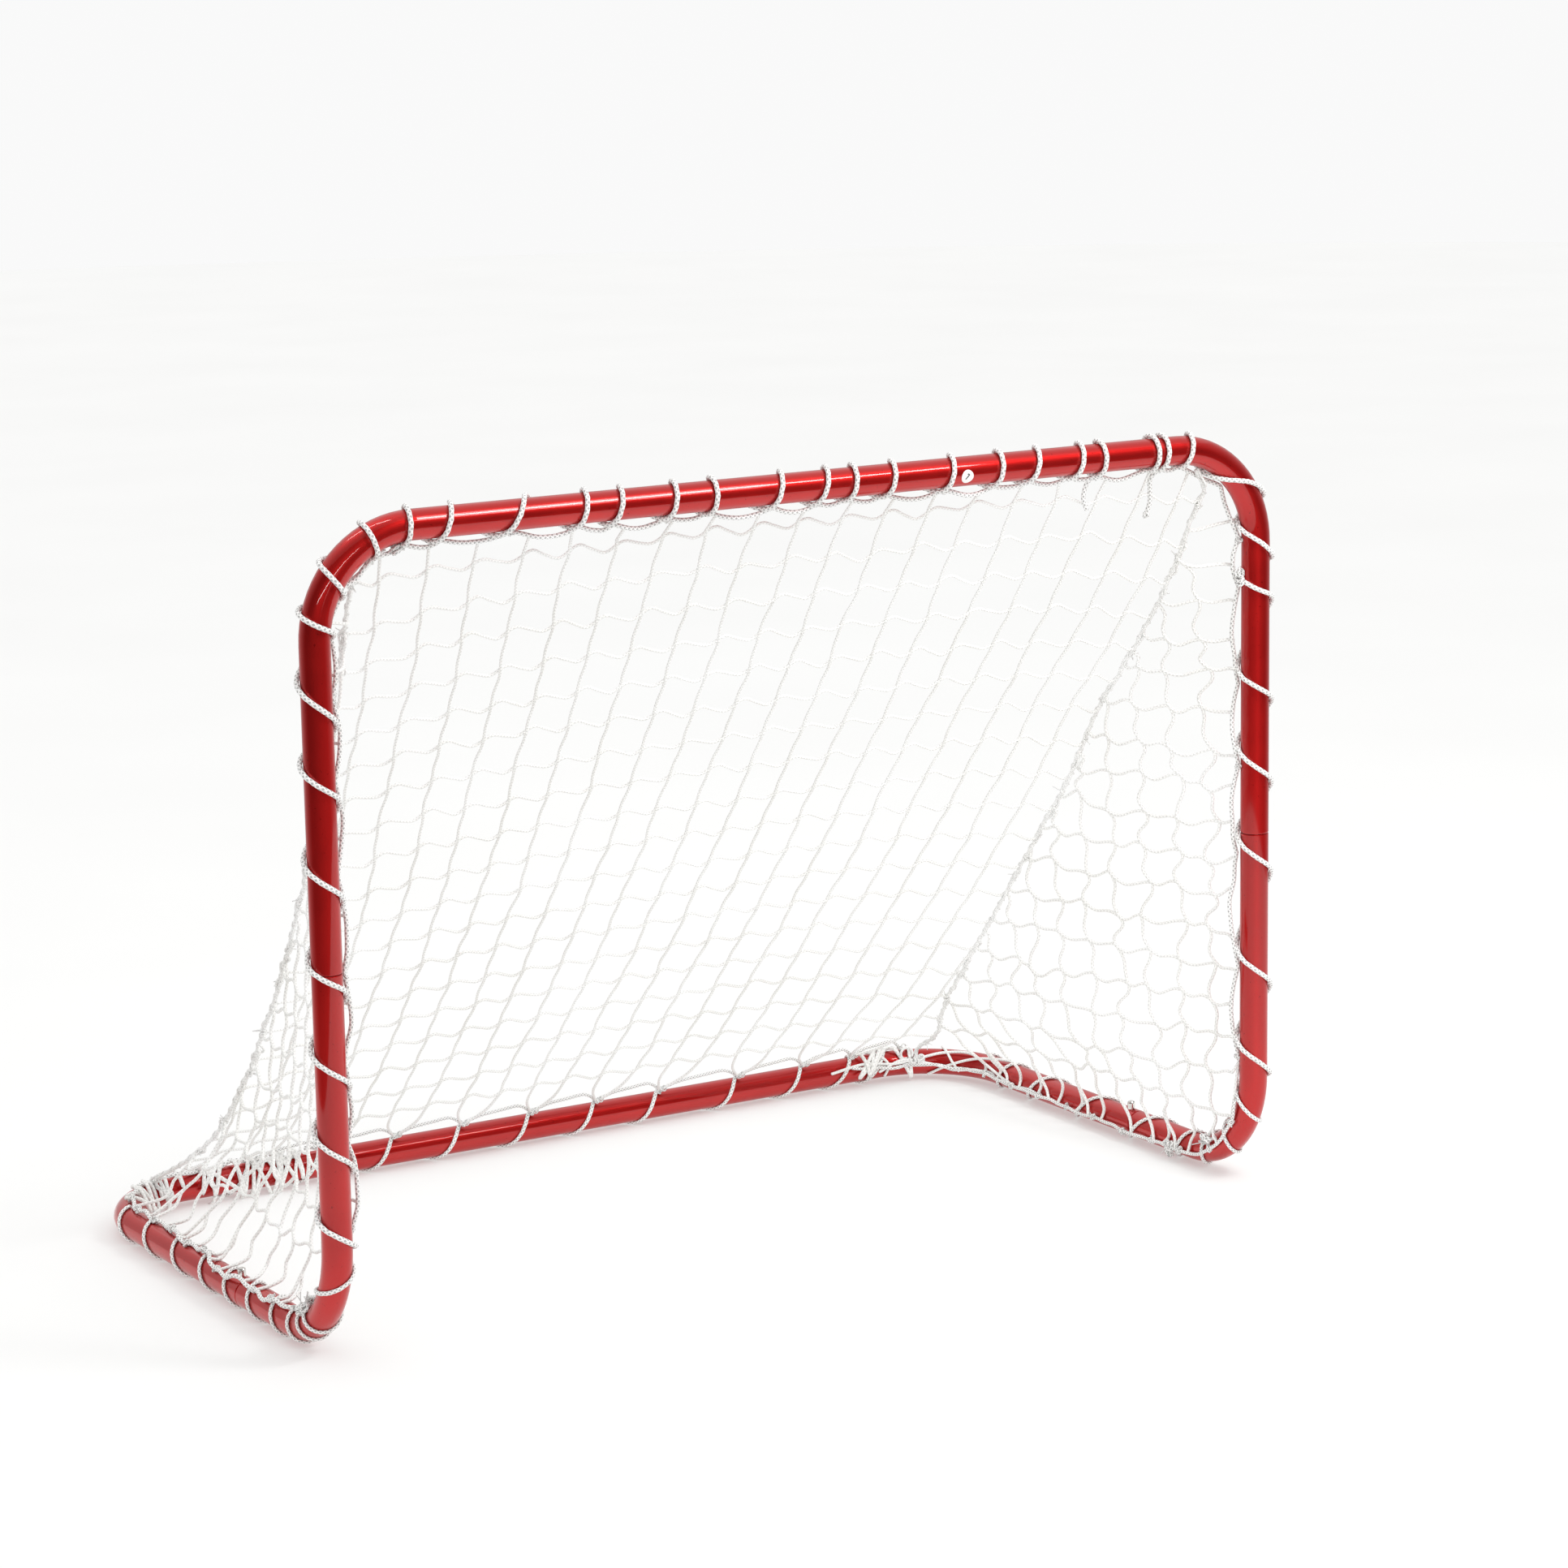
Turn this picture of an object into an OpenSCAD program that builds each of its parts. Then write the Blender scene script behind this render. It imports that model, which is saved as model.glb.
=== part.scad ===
// Small steel hockey goal: a laced net on a knock-down frame of four bent tubes.
// The mouth faces -Y, the goal is deep along +Y, and the floor is z = 0.

/* [Frame] */
// Distance between the centres of the two posts
frame_w = 1160; // [1140:5:1180]
// Height of the crossbar's centre above the floor
frame_h = 856; // [846:2:866]
// Distance from the posts' centres back to the rear bar's centre
frame_d = 630; // [620:5:640]
// Centreline radius of all six bends
bend_r = 110; // [105:1:115]
// Outside diameter of the frame tube
tube_d = 32; // [31.8:0.1:32.2]
// Wall thickness of the frame tube
tube_wall = 1.5; // [1.2:0.1:1.6]

/* [Slip joints] */
// Height of the joint in each post
post_joint_z = 414; // [380:2:440]
// Distance of the joint in each base tube behind the posts
base_joint_y = 223; // [215:1:230]
// Length of the reduced spigot inside a joint
spigot_len = 48; // [44:1:52]
// Radial clearance between a spigot and its socket
spigot_gap = 0.2; // [0.15:0.05:0.3]
// Dark gap that shows between two tubes at a joint
seam_gap = 0.7; // [0.2:0.1:0.8]
// Height of the rounded lip at a joint
lip = 1; // [0.6:0.1:1.2]

/* [Snap buttons] */
// Diameter of a snap button
button_d = 9; // [8:0.5:9.5]
// Height of a button above its tube at rest
button_proud = 9.5; // [8:0.5:10]
// Distance of a button behind the joint
button_back = 15; // [13:1:17]
// Radial clearance of a button in its two holes
button_gap = 0.075; // [0.05:0.005:0.1]

/* [Lacing] */
// Diameter of the braided lacing cord around the mouth
cord_d = 5; // [4:0.5:5]
// Width of the cord that is pulled flat around the base tubes
base_cord_w = 5; // [4:0.5:5]
// Thickness of that cord where it is pulled flat
base_cord_t = 3; // [2.5:0.5:3]

/* [Net] */
// Thickness of the space that a net panel takes up
net_t = 3; // [3:0.5:5]
// Sag of the back panel below a straight line
back_sag = 28; // [20:1:36]
// Inward sag of each side panel
side_sag = 14; // [8:1:18]
// Diameter of the sewn seam between the back and side panels
seam_d = 8; // [6:0.5:9]
// Diameter of the cord in the edge of the net
border_d = 5; // [4:0.5:5]

/* [Number sticker] */
// Diameter of the round sticker on the crossbar
sticker_d = 15; // [12:1:18]
// Sticker's place along the crossbar, from the middle
sticker_x = 184; // [150:2:210]

/* [Hidden] */
$fn = 64;

// Tube sizes worked out from the frame
tube_r = tube_d / 2;
bore_r = tube_r - tube_wall;
spigot_r = bore_r - spigot_gap;
spigot_bore = spigot_r - tube_wall;
half_w = frame_w / 2;
cord_gap = 1;
border_gap = 1;
base_z = tube_r + cord_gap + base_cord_t;
post_low = base_z + bend_r;
post_high = frame_h - bend_r;

// Lengths of the straight and bent stretches of the frame
post_len = post_high - post_low;
bend_len = PI / 2 * bend_r;
bar_len = frame_w - 2 * bend_r;
side_len = frame_d - 2 * bend_r;
mouth_len = 2 * post_len + 2 * bend_len + bar_len;
base_len = 2 * side_len + 4 * bend_len + bar_len;

// Where the cord crosses the front of the mouth, measured along the tube
// from the foot of the left post, and how far it slants at each crossing
long_wraps = [16, 102, 187, 280, 380, 478, 559, 637, 683, 738, 780, 824, 903, 979, 1020,
    1084, 1132, 1210, 1266, 1302, 1350, 1424, 1487, 1534, 1592, 1622, 1693, 1706];
right_wraps = [1738, 1816, 1898, 1953, 2064, 2156, 2259, 2390, 2495];

// Where the cord passes under the rear bar, measured from its middle
rear_wraps = [-455, -390, -300, -207, -118, -25, 64, 152, 263, 357, 428, 480];

// Where the cord passes under each side tube, from the foot of its post back to the rear bend
left_side_wraps = [36, 98, 120, 144, 180, 236, 294, 354, 424, 500, 572];
right_side_wraps = [46, 98, 150, 200, 300, 410, 510, 572];

// The right-hand seam between the back and side panels, from the crossbar down
seam_route = [[515, 6, 816], [510, 80, 684], [505, 145, 593], [498, 190, 534], [491, 238, 449],
    [486, 282, 386], [479, 373, 267], [484, 490, 129], [527, 583, 42]];

// The left-hand edge of the side net beside the tubes, from the top down and back
edge_x = 560;
edge_route = [[edge_x, 24, 760], [edge_x, 24, 660], [edge_x, 24, 540], [edge_x, 24, 400],
    [edge_x, 26, 250], [edge_x, 40, 100], [edge_x, 110, 50], [edge_x, 300, 46], [555, 520, 46]];

// Red, chrome and white of the real parts
paint = "firebrick";
chrome = "silver";
twine = "whitesmoke";
cord_white = "white";

// Reach of the lacing from a tube's centreline, around the mouth and around the base
mouth_reach = tube_r + cord_gap + cord_d;
base_reach = tube_r + cord_gap + base_cord_t;

// The mouth's centre plane lies this far in front of the middle of the goal's depth
mouth_y = (mouth_reach - frame_d - base_reach) / 2;

function unit(v) = v / norm(v);
function lerp(a, b, t) = a + (b - a) * t;

// A point on the mouth's centreline, at s mm from the foot of the left post
function mouth_pt(s) =
    s < post_len ? [-half_w, 0, post_low + s] :
    s < post_len + bend_len ? bend_pt(-1, (s - post_len) / bend_len * 90) :
    s < post_len + bend_len + bar_len ? [s - post_len - bend_len - bar_len / 2, 0, frame_h] :
    s < post_len + 2 * bend_len + bar_len ? bend_pt(1, (mouth_len - post_len - s) / bend_len * 90) :
    [half_w, 0, post_low + mouth_len - s];
function bend_pt(side, a) =
    [side * (half_w - bend_r + bend_r * cos(a)), 0, post_high + bend_r * sin(a)];

// The direction at that point that leads out of the mouth
function mouth_out(s) =
    s < post_len ? [-1, 0, 0] :
    s < post_len + bend_len ? bend_out(-1, (s - post_len) / bend_len * 90) :
    s < post_len + bend_len + bar_len ? [0, 0, 1] :
    s < post_len + 2 * bend_len + bar_len ? bend_out(1, (mouth_len - post_len - s) / bend_len * 90) :
    [1, 0, 0];
function bend_out(side, a) = [side * cos(a), 0, sin(a)];

// A point r from the mouth's centreline, turned by a degrees from the front towards the outside
function mouth_at(s, a, r) = mouth_pt(s) + r * (cos(a) * [0, -1, 0] + sin(a) * mouth_out(s));

// A point on the base's centreline, at s mm from the foot of the left post,
// down the front bend, back, across and forward to the foot of the right post
function base_pt(s) =
    s < base_len / 2 ? base_half(s, -1) : base_half(base_len - s, 1);
function base_half(s, side) =
    s < bend_len ? [side * half_w, bend_r - bend_r * cos(base_deg(s)), post_low - bend_r * sin(base_deg(s))] :
    s < bend_len + side_len ? [side * half_w, bend_r + s - bend_len, base_z] :
    s < 2 * bend_len + side_len ? rear_pt(side, base_deg(s - bend_len - side_len)) :
    [side * (half_w - bend_r - (s - 2 * bend_len - side_len)), frame_d, base_z];
function rear_pt(side, a) =
    [side * (half_w - bend_r + bend_r * cos(a)), frame_d - bend_r + bend_r * sin(a), base_z];
function base_deg(s) = s / bend_len * 90;

// The directions at that point that lead out of the goal, and up and inwards
function base_out(s) =
    s < base_len / 2 ? base_half_out(s, -1) : base_half_out(base_len - s, 1);
function base_half_out(s, side) =
    s < bend_len + side_len ? [side, 0, 0] :
    s < 2 * bend_len + side_len ? rear_out(side, base_deg(s - bend_len - side_len)) :
    [0, 1, 0];
function rear_out(side, a) = [side * cos(a), sin(a), 0];
function base_up(s) = base_half_up(min(s, base_len - s));
function base_half_up(s) = s < bend_len ? [0, cos(base_deg(s)), sin(base_deg(s))] : [0, 0, 1];

// A point r from the base's centreline, turned by a degrees from the outside towards the top
function base_at(s, a, r) = base_pt(s) + r * (cos(a) * base_out(s) + sin(a) * base_up(s));

// Place along the tube after t turns of a cord that crosses the front at the listed places.
// Each turn crosses the front steeply and makes most of its way behind the tube.
function wrap_s(wraps, t) = let (k = min(floor(t), len(wraps) - 2), f = t - k)
    lerp(wraps[k], wraps[k + 1], f - 0.09 * sin(360 * f));

// Moves a piece from the mouth's own plane to its place in the goal
module place() {
    translate([0, mouth_y, 0]) children();
}

// A closed tube along points c, with an oval section w wide and t thick towards n
module sweep(c, n, w, t, sides) {
    last = len(c) - 1;
    points = [for (i = [0:last])
        let (along = unit(c[min(i + 1, last)] - c[max(i - 1, 0)]))
        let (across = unit(cross(along, n[i])))
        let (up = cross(across, along))
        for (j = [0:sides - 1])
            c[i] + t / 2 * cos(360 * j / sides) * up + w / 2 * sin(360 * j / sides) * across];
    skin = [for (i = [0:last - 1], j = [0:sides - 1])
        let (k = (j + 1) % sides, a = i * sides, b = (i + 1) * sides)
        for (f = [[a + j, b + j, b + k], [a + j, b + k, a + k]]) f];
    start = [[for (j = [0:sides - 1]) j]];
    end = [[for (j = [sides - 1:-1:0]) last * sides + j]];
    polyhedron(points, concat(skin, start, end), convexity = 10);
}

// A straight tube along +Z with a rounded lip at its lower end
module socket_tube(length) {
    rotate_extrude()
        polygon([[bore_r, 0], [tube_r - lip, 0], [tube_r - 0.3 * lip, 0.3 * lip],
            [tube_r, lip], [tube_r, length], [bore_r, length]]);
}

// A straight tube along +Z whose upper end is reduced to fit into a socket
module spigot_tube(length) {
    tip = length + spigot_len;
    rotate_extrude()
        polygon([[bore_r, 0], [tube_r, 0], [tube_r, length - lip],
            [tube_r - 0.3 * lip, length - 0.3 * lip], [tube_r - lip, length],
            [spigot_r, length], [spigot_r, tip - 2], [spigot_r - 0.7, tip],
            [spigot_bore, tip], [spigot_bore, length - 8], [bore_r, length - 14]]);
}

// A quarter bend that starts at the origin along +Z and turns towards +X
module bend_tube() {
    translate([bend_r, 0, 0])
        rotate([90, 0, 0])
            mirror([1, 0, 0])
                rotate_extrude(angle = 90, $fn = 96)
                    translate([bend_r, 0])
                        difference() {
                            circle(tube_r, $fn = 64);
                            circle(bore_r, $fn = 64);
                        }
}

// A plain straight tube along +Z
module plain_tube(length) {
    rotate_extrude()
        translate([bore_r, 0])
            square([tube_wall, length]);
}

// Half of the top frame: an upper post, a bend and half the crossbar
module top_half() {
    translate([-half_w, 0, post_joint_z])
        socket_tube(post_high - post_joint_z);
    translate([-half_w, 0, post_high])
        bend_tube();
    translate([-half_w + bend_r, 0, frame_h])
        rotate([0, 90, 0])
            plain_tube(bar_len / 2);
}

module top_frame() {
    color(paint)
        place() {
            top_half();
            mirror([1, 0, 0]) top_half();
        }
}

// The hole for a snap button, on the left side tube
module button_hole() {
    translate([-half_w, base_joint_y + button_back, base_z])
        cylinder(h = tube_d, r = button_d / 2 + button_gap);
}

// The left lower post, the bend at its foot and the stub that carries the button
module corner_tube() {
    shoulder_z = post_joint_z - seam_gap;
    shoulder_y = base_joint_y - seam_gap;
    color(paint)
        place() difference() {
            union() {
                translate([-half_w, 0, post_low])
                    spigot_tube(shoulder_z - post_low);
                translate([-half_w, bend_r, base_z])
                    rotate([-90, 0, 0])
                        spigot_tube(shoulder_y - bend_r);
                translate([-half_w, 0, post_low])
                    rotate([180, 0, 90])
                        bend_tube();
            }
            button_hole();
        }
}

module left_corner_tube() {
    corner_tube();
}

module right_corner_tube() {
    mirror([1, 0, 0]) corner_tube();
}

// Half of the rear base tube: a side tube, a bend and half the rear bar
module rear_half() {
    difference() {
        translate([-half_w, base_joint_y, base_z])
            rotate([-90, 0, 0])
                socket_tube(frame_d - bend_r - base_joint_y);
        button_hole();
    }
    translate([-half_w, frame_d - bend_r, base_z])
        rotate([-90, 0, 0])
            bend_tube();
    translate([-half_w + bend_r, frame_d, base_z])
        rotate([0, 90, 0])
            plain_tube(bar_len / 2);
}

module rear_base_tube() {
    color(paint)
        place() {
            rear_half();
            mirror([1, 0, 0]) rear_half();
        }
}

// A domed button on a flange that stays inside the spigot, on the left side tube
module snap_button() {
    top = tube_r + button_proud;
    dome = 3;
    r = button_d / 2;
    flange_z = spigot_bore - 2.8;
    color(chrome)
        place() translate([-half_w, base_joint_y + button_back, base_z])
            rotate_extrude()
                polygon([[0, flange_z], [r + 1, flange_z], [r + 1, flange_z + 1.2],
                    [r, flange_z + 1.2], [r, top - dome], [0.96 * r, top - 0.6 * dome],
                    [0.8 * r, top - 0.27 * dome], [0.5 * r, top - 0.07 * dome], [0, top]]);
}

module left_snap_button() {
    snap_button();
}

module right_snap_button() {
    mirror([1, 0, 0]) snap_button();
}

// A hairpin leaf spring inside the spigot, under the button's flange
module snap_spring() {
    width = 8;
    leaf = 0.8;
    reach = 26;
    high = spigot_bore - 3.2;
    low = -sqrt(spigot_bore * spigot_bore - width * width / 4) + 0.1;
    mid = (high + low) / 2;
    color(chrome)
        place() translate([-half_w - width / 2, base_joint_y + button_back - 5, base_z])
            rotate([90, 0, 90])
                linear_extrude(width)
                    polygon([[0, high], [8, high], [reach - 1, mid + 2.4], [reach + 1, mid],
                        [reach - 1, mid - 2.4], [4, low], [0, low], [0, low + leaf],
                        [4, low + leaf], [reach - 2, mid - 1.6], [reach - 0.6, mid],
                        [reach - 2, mid + 1.6], [8, high - leaf], [0, high - leaf]]);
}

module left_snap_spring() {
    snap_spring();
}

module right_snap_spring() {
    mirror([1, 0, 0]) snap_spring();
}

// A point [y, z] of the back panel at a share u of the way down from the crossbar
back_top = [16, frame_h - 28];
back_low = [frame_d - 26, base_z + 30];
back_in = [-unit(back_low - back_top)[1], unit(back_low - back_top)[0]];
function back_at(u, off) = lerp(back_top, back_low, u) + (off - 4 * u * (1 - u) * back_sag) * back_in;

module back_net() {
    steps = 10;
    margin = seam_d / 2 + 2;
    upper = [for (i = [0:steps]) back_at(i / steps, net_t / 2)];
    lower = [for (i = [steps:-1:0]) back_at(i / steps, -net_t / 2)];
    last = len(seam_route) - 1;
    top_corner = 90;
    edge = concat(
        [[half_w - top_corner, frame_h], [seam_route[0][0] - margin, seam_route[0][2] - 12]],
        [for (i = [1:last]) [seam_route[i][0] - margin, seam_route[i][2]]],
        [[seam_route[last][0] - margin, 0]]);
    other_edge = [for (i = [len(edge) - 1:-1:0]) [-edge[i][0], edge[i][1]]];
    color(twine)
        place() intersection() {
            translate([-half_w, 0, 0])
                rotate([90, 0, 90])
                    linear_extrude(frame_w)
                        polygon(concat(upper, lower));
            translate([0, frame_d, 0])
                rotate([90, 0, 0])
                    linear_extrude(frame_d)
                        polygon(concat(edge, other_edge));
        }
}

// The right side panel, between its seam and the tubes, as a thin closed shell
module side_net() {
    rows = len(seam_route) - 1;
    cols = 6;
    w = cols + 1;
    clear = seam_d / 2 + 3;
    inner = [for (i = [0:rows]) seam_route[i] + clear * unit(edge_route[i] - seam_route[i])];
    function mid(i, j) =
        lerp(inner[i], edge_route[i], j / cols)
        - [side_sag * sin(180 * j / cols) * sin(180 * i / rows), 0, 0];
    function normal(i, j) = unit(cross(
        mid(min(i + 1, rows), j) - mid(max(i - 1, 0), j),
        mid(i, min(j + 1, cols)) - mid(i, max(j - 1, 0))));
    near = [for (i = [0:rows], j = [0:cols]) mid(i, j) + net_t / 2 * normal(i, j)];
    far = [for (i = [0:rows], j = [0:cols]) mid(i, j) - net_t / 2 * normal(i, j)];
    n = len(near);
    faces_near = [for (i = [0:rows - 1], j = [0:cols - 1])
        for (f = [[i * w + j, i * w + j + 1, (i + 1) * w + j + 1],
            [i * w + j, (i + 1) * w + j + 1, (i + 1) * w + j]]) f];
    faces_far = [for (f = faces_near) [n + f[2], n + f[1], n + f[0]]];
    rim = concat(
        [for (j = [0:cols]) j],
        [for (i = [1:rows]) i * w + cols],
        [for (j = [cols - 1:-1:0]) rows * w + j],
        [for (i = [rows - 1:-1:1]) i * w]);
    faces_rim = [for (k = [0:len(rim) - 1])
        let (a = rim[k], b = rim[(k + 1) % len(rim)])
        for (f = [[a, n + a, n + b], [a, n + b, b]]) f];
    color(twine)
        place() polyhedron(concat(near, far), concat(faces_near, faces_far, faces_rim),
            convexity = 6);
}

module right_side_net() {
    side_net();
}

module left_side_net() {
    mirror([1, 0, 0]) side_net();
}

// The thick sewn seam along the right edge of the back panel
module seam_cord() {
    color(cord_white)
        place() sweep(seam_route, [for (p = seam_route) [1, 0, 0]], seam_d, seam_d, 8);
}

module right_seam_cord() {
    seam_cord();
}

module left_seam_cord() {
    mirror([1, 0, 0]) seam_cord();
}

// The net's edge cord lies behind the inside of the mouth tubes
module mouth_border_cord() {
    reach = mouth_reach + border_d / 2 + border_gap;
    turn = -130;
    s = [for (k = [0:60]) lerp(20, mouth_len - 20, k / 60)];
    color(cord_white)
        place() sweep([for (v = s) mouth_at(v, turn, reach)], [for (v = s) mouth_out(v)],
            border_d, border_d, 6);
}

// The net's edge cord lies above the inside of the base tubes
module base_border_cord() {
    reach = base_reach + border_d / 2 + border_gap;
    turn = 130;
    s = [for (k = [0:60]) lerp(40, base_len - 40, k / 60)];
    color(cord_white)
        place() sweep([for (v = s) base_at(v, turn, reach)], [for (v = s) base_out(v)],
            border_d, border_d, 6);
}

// A cord that winds around the mouth tubes and crosses their front at the listed places
module mouth_lacing(wraps) {
    steps = 12;
    r = mouth_reach - cord_d / 2;
    turns = [for (k = [0:steps * (len(wraps) - 1)]) k / steps];
    route = [for (t = turns) mouth_at(wrap_s(wraps, t), 360 * t, r)];
    away = [for (i = [0:len(turns) - 1]) route[i] - mouth_pt(wrap_s(wraps, turns[i]))];
    color(cord_white)
        place() sweep(route, away, cord_d, cord_d, 6);
}

module long_mouth_lacing() {
    mouth_lacing(long_wraps);
}

module right_post_lacing() {
    mouth_lacing(right_wraps);
}

// A flattened cord that winds around the base tubes and passes under them at the listed places
module base_lacing(wraps) {
    steps = 12;
    under = -90;
    r = base_reach - base_cord_t / 2;
    turns = [for (k = [0:steps * (len(wraps) - 1)]) k / steps];
    route = [for (t = turns) base_at(lerp(wraps[floor(t)], wraps[min(floor(t) + 1, len(wraps) - 1)],
        t - floor(t)), under + 360 * t, r)];
    centre = [for (t = turns) base_pt(lerp(wraps[floor(t)],
        wraps[min(floor(t) + 1, len(wraps) - 1)], t - floor(t)))];
    color(cord_white)
        place() sweep(route, route - centre, base_cord_w, base_cord_t, 6);
}

module left_base_lacing() {
    base_lacing(left_side_wraps);
}

module right_base_lacing() {
    mirror([1, 0, 0]) base_lacing(right_side_wraps);
}

// The cord comes over the rear bar from the right and goes down its front to the left
module rear_base_lacing() {
    last = len(rear_wraps) - 1;
    mirror([1, 0, 0])
        base_lacing([for (k = [last:-1:0]) base_len / 2 - rear_wraps[k]]);
}

// A round number sticker, low on the front of the crossbar
module number_sticker() {
    gap = 0.05;
    thickness = 0.3;
    tilt = 15;
    color("white")
        place() translate([sticker_x, 0, frame_h])
            intersection() {
                rotate([0, 90, 0])
                    translate([0, 0, -sticker_d])
                        difference() {
                            cylinder(h = 2 * sticker_d, r = tube_r + gap + thickness);
                            translate([0, 0, -1])
                                cylinder(h = 2 * sticker_d + 2, r = tube_r + gap);
                        }
                rotate([90 + tilt, 0, 0])
                    cylinder(h = 2 * tube_r, d = sticker_d);
            }
}

top_frame();
left_corner_tube();
right_corner_tube();
rear_base_tube();
left_snap_button();
right_snap_button();
left_snap_spring();
right_snap_spring();
back_net();
left_side_net();
right_side_net();
left_seam_cord();
right_seam_cord();
mouth_border_cord();
base_border_cord();
long_mouth_lacing();
right_post_lacing();
left_base_lacing();
rear_base_lacing();
right_base_lacing();
number_sticker();
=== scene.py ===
"""A small red steel hockey goal with a laced white net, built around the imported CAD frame."""
import math

import bpy
import numpy as np
from mathutils import Matrix, Vector

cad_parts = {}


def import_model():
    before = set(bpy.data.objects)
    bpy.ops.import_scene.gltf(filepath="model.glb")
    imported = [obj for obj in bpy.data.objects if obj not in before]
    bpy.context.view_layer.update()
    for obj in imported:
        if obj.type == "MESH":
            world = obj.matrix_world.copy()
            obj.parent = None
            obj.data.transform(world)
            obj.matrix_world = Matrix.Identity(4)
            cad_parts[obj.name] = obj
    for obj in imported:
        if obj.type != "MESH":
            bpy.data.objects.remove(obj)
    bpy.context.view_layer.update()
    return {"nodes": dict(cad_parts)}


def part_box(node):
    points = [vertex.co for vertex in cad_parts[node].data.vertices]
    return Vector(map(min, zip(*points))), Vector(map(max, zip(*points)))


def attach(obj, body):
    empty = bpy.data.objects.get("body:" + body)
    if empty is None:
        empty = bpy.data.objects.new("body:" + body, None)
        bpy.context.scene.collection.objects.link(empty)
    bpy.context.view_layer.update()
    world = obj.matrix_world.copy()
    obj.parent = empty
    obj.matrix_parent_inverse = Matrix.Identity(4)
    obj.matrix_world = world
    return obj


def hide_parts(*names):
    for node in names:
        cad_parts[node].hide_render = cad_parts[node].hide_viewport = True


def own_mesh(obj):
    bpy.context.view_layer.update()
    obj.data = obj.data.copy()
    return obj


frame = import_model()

MM = 0.001

# ---------------------------------------------------------------- sizes from the frame, in mm
# Routes are worked out in mm from the middle of the mouth at the floor, as in the CAD,
# and moved into the frame by to_frame().
TUBE_R = 16.0
BEND_R = 110.0
top_low, top_high = [np.array(c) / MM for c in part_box("top_frame")]
rear_high = np.array(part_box("rear_base_tube")[1]) / MM
HALF_W = top_high[0] - TUBE_R
BAR_Z = top_high[2] - TUBE_R
MOUTH_Y = (top_low[1] + top_high[1]) / 2
DEPTH = rear_high[1] - TUBE_R - MOUTH_Y
BASE_Z = rear_high[2] - TUBE_R

POST_LOW = BASE_Z + BEND_R
POST_LEN = BAR_Z - BEND_R - POST_LOW
BEND_LEN = math.pi / 2 * BEND_R
BAR_LEN = 2 * (HALF_W - BEND_R)
SIDE_LEN = DEPTH - 2 * BEND_R
MOUTH_LEN = 2 * POST_LEN + 2 * BEND_LEN + BAR_LEN
BASE_LEN = 2 * SIDE_LEN + 4 * BEND_LEN + BAR_LEN

LACING_R = 2.5
BORDER_R = 2.4
SIDE_TWINE_R = 1.9
TWINE_R = 1.65
CORD_RELIEF = 0.06  # how far the plaits stand out, as a share of a cord's radius
WRAP_REACH = TUBE_R + LACING_R + 0.6

# Where the lacing crosses the front of the mouth tubes, along the tube from the foot of the
# left post, and how far it leans at each crossing
LONG_WRAPS = [16, 102, 187, 280, 380, 478, 559, 637, 683, 738, 780, 824, 903, 979, 1020,
    1084, 1132, 1210, 1266, 1302, 1350, 1424, 1487, 1534, 1592, 1622, 1693, 1706]
LONG_LEANS = [33, 39, 39, 35, 42, 39, 44, 18, 18, 6, 10, 21, 34, 15, 16,
    12, 6, 19, 18, 11, 14, 16, 10, 17, 14, 3, 2, 5]
RIGHT_WRAPS = [1738, 1820, 1898, 1953, 2064, 2156, 2259, 2390, 2495]
RIGHT_LEANS = [12, 72, 42, 28, 36, 42, 44, 45, 42]

# Where the net is tied to the top of the rear bar, from its middle, and its last tie at each end
REAR_TIES = [-390, -300, -207, -118, -25, 64, 152, 263, 357, 428]
LEFT_TIE, RIGHT_TIE = -455, 499
TIE_Y = DEPTH - 9
TIE_Z = BASE_Z + TUBE_R + 4

# The right-hand seam between the back and side panels, from the crossbar down
SEAM_ROUTE = [[515, 6, 816], [510, 80, 684], [505, 145, 593], [498, 190, 534], [491, 238, 449],
    [486, 282, 386], [479, 373, 267], [484, 490, 129], [527, 583, 42]]

rng = np.random.default_rng(7)


def to_frame(points):
    """Points in mm from the mouth, as metres in the shared frame."""
    return (np.asarray(points, float) + [0, MOUTH_Y, 0]) * MM


def new_object(name, data):
    """An object in the scene that shows the data."""
    obj = bpy.data.objects.new(name, data)
    bpy.context.scene.collection.objects.link(obj)
    return obj


# ---------------------------------------------------------------- paths along the tubes
def mouth_path(s):
    """Centre and outward direction of the mouth tube at s mm from the left post's foot."""
    s = np.asarray(s, float)
    side = np.where(s < MOUTH_LEN / 2, -1.0, 1.0)
    h = np.minimum(s, MOUTH_LEN - s)
    a = np.clip((h - POST_LEN) / BEND_LEN, 0, 1) * math.pi / 2
    along = np.maximum(h - POST_LEN - BEND_LEN, 0)
    x = HALF_W - BEND_R + BEND_R * np.cos(a) - along
    z = np.minimum(POST_LOW + h, POST_LOW + POST_LEN) + BEND_R * np.sin(a)
    centre = np.stack([side * x, np.zeros_like(x), z], -1)
    out = np.stack([side * np.cos(a), np.zeros_like(x), np.sin(a)], -1)
    return centre, out


def mouth_at(s, degrees, reach):
    """A point at that reach from the mouth tube's middle, turned from its front outwards."""
    centre, out = mouth_path(s)
    a = np.radians(np.asarray(degrees, float))[..., None]
    reach = np.asarray(reach, float)[..., None] * np.ones_like(a)
    return centre + reach * (np.cos(a) * np.array([0, -1, 0]) + np.sin(a) * out)


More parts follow.
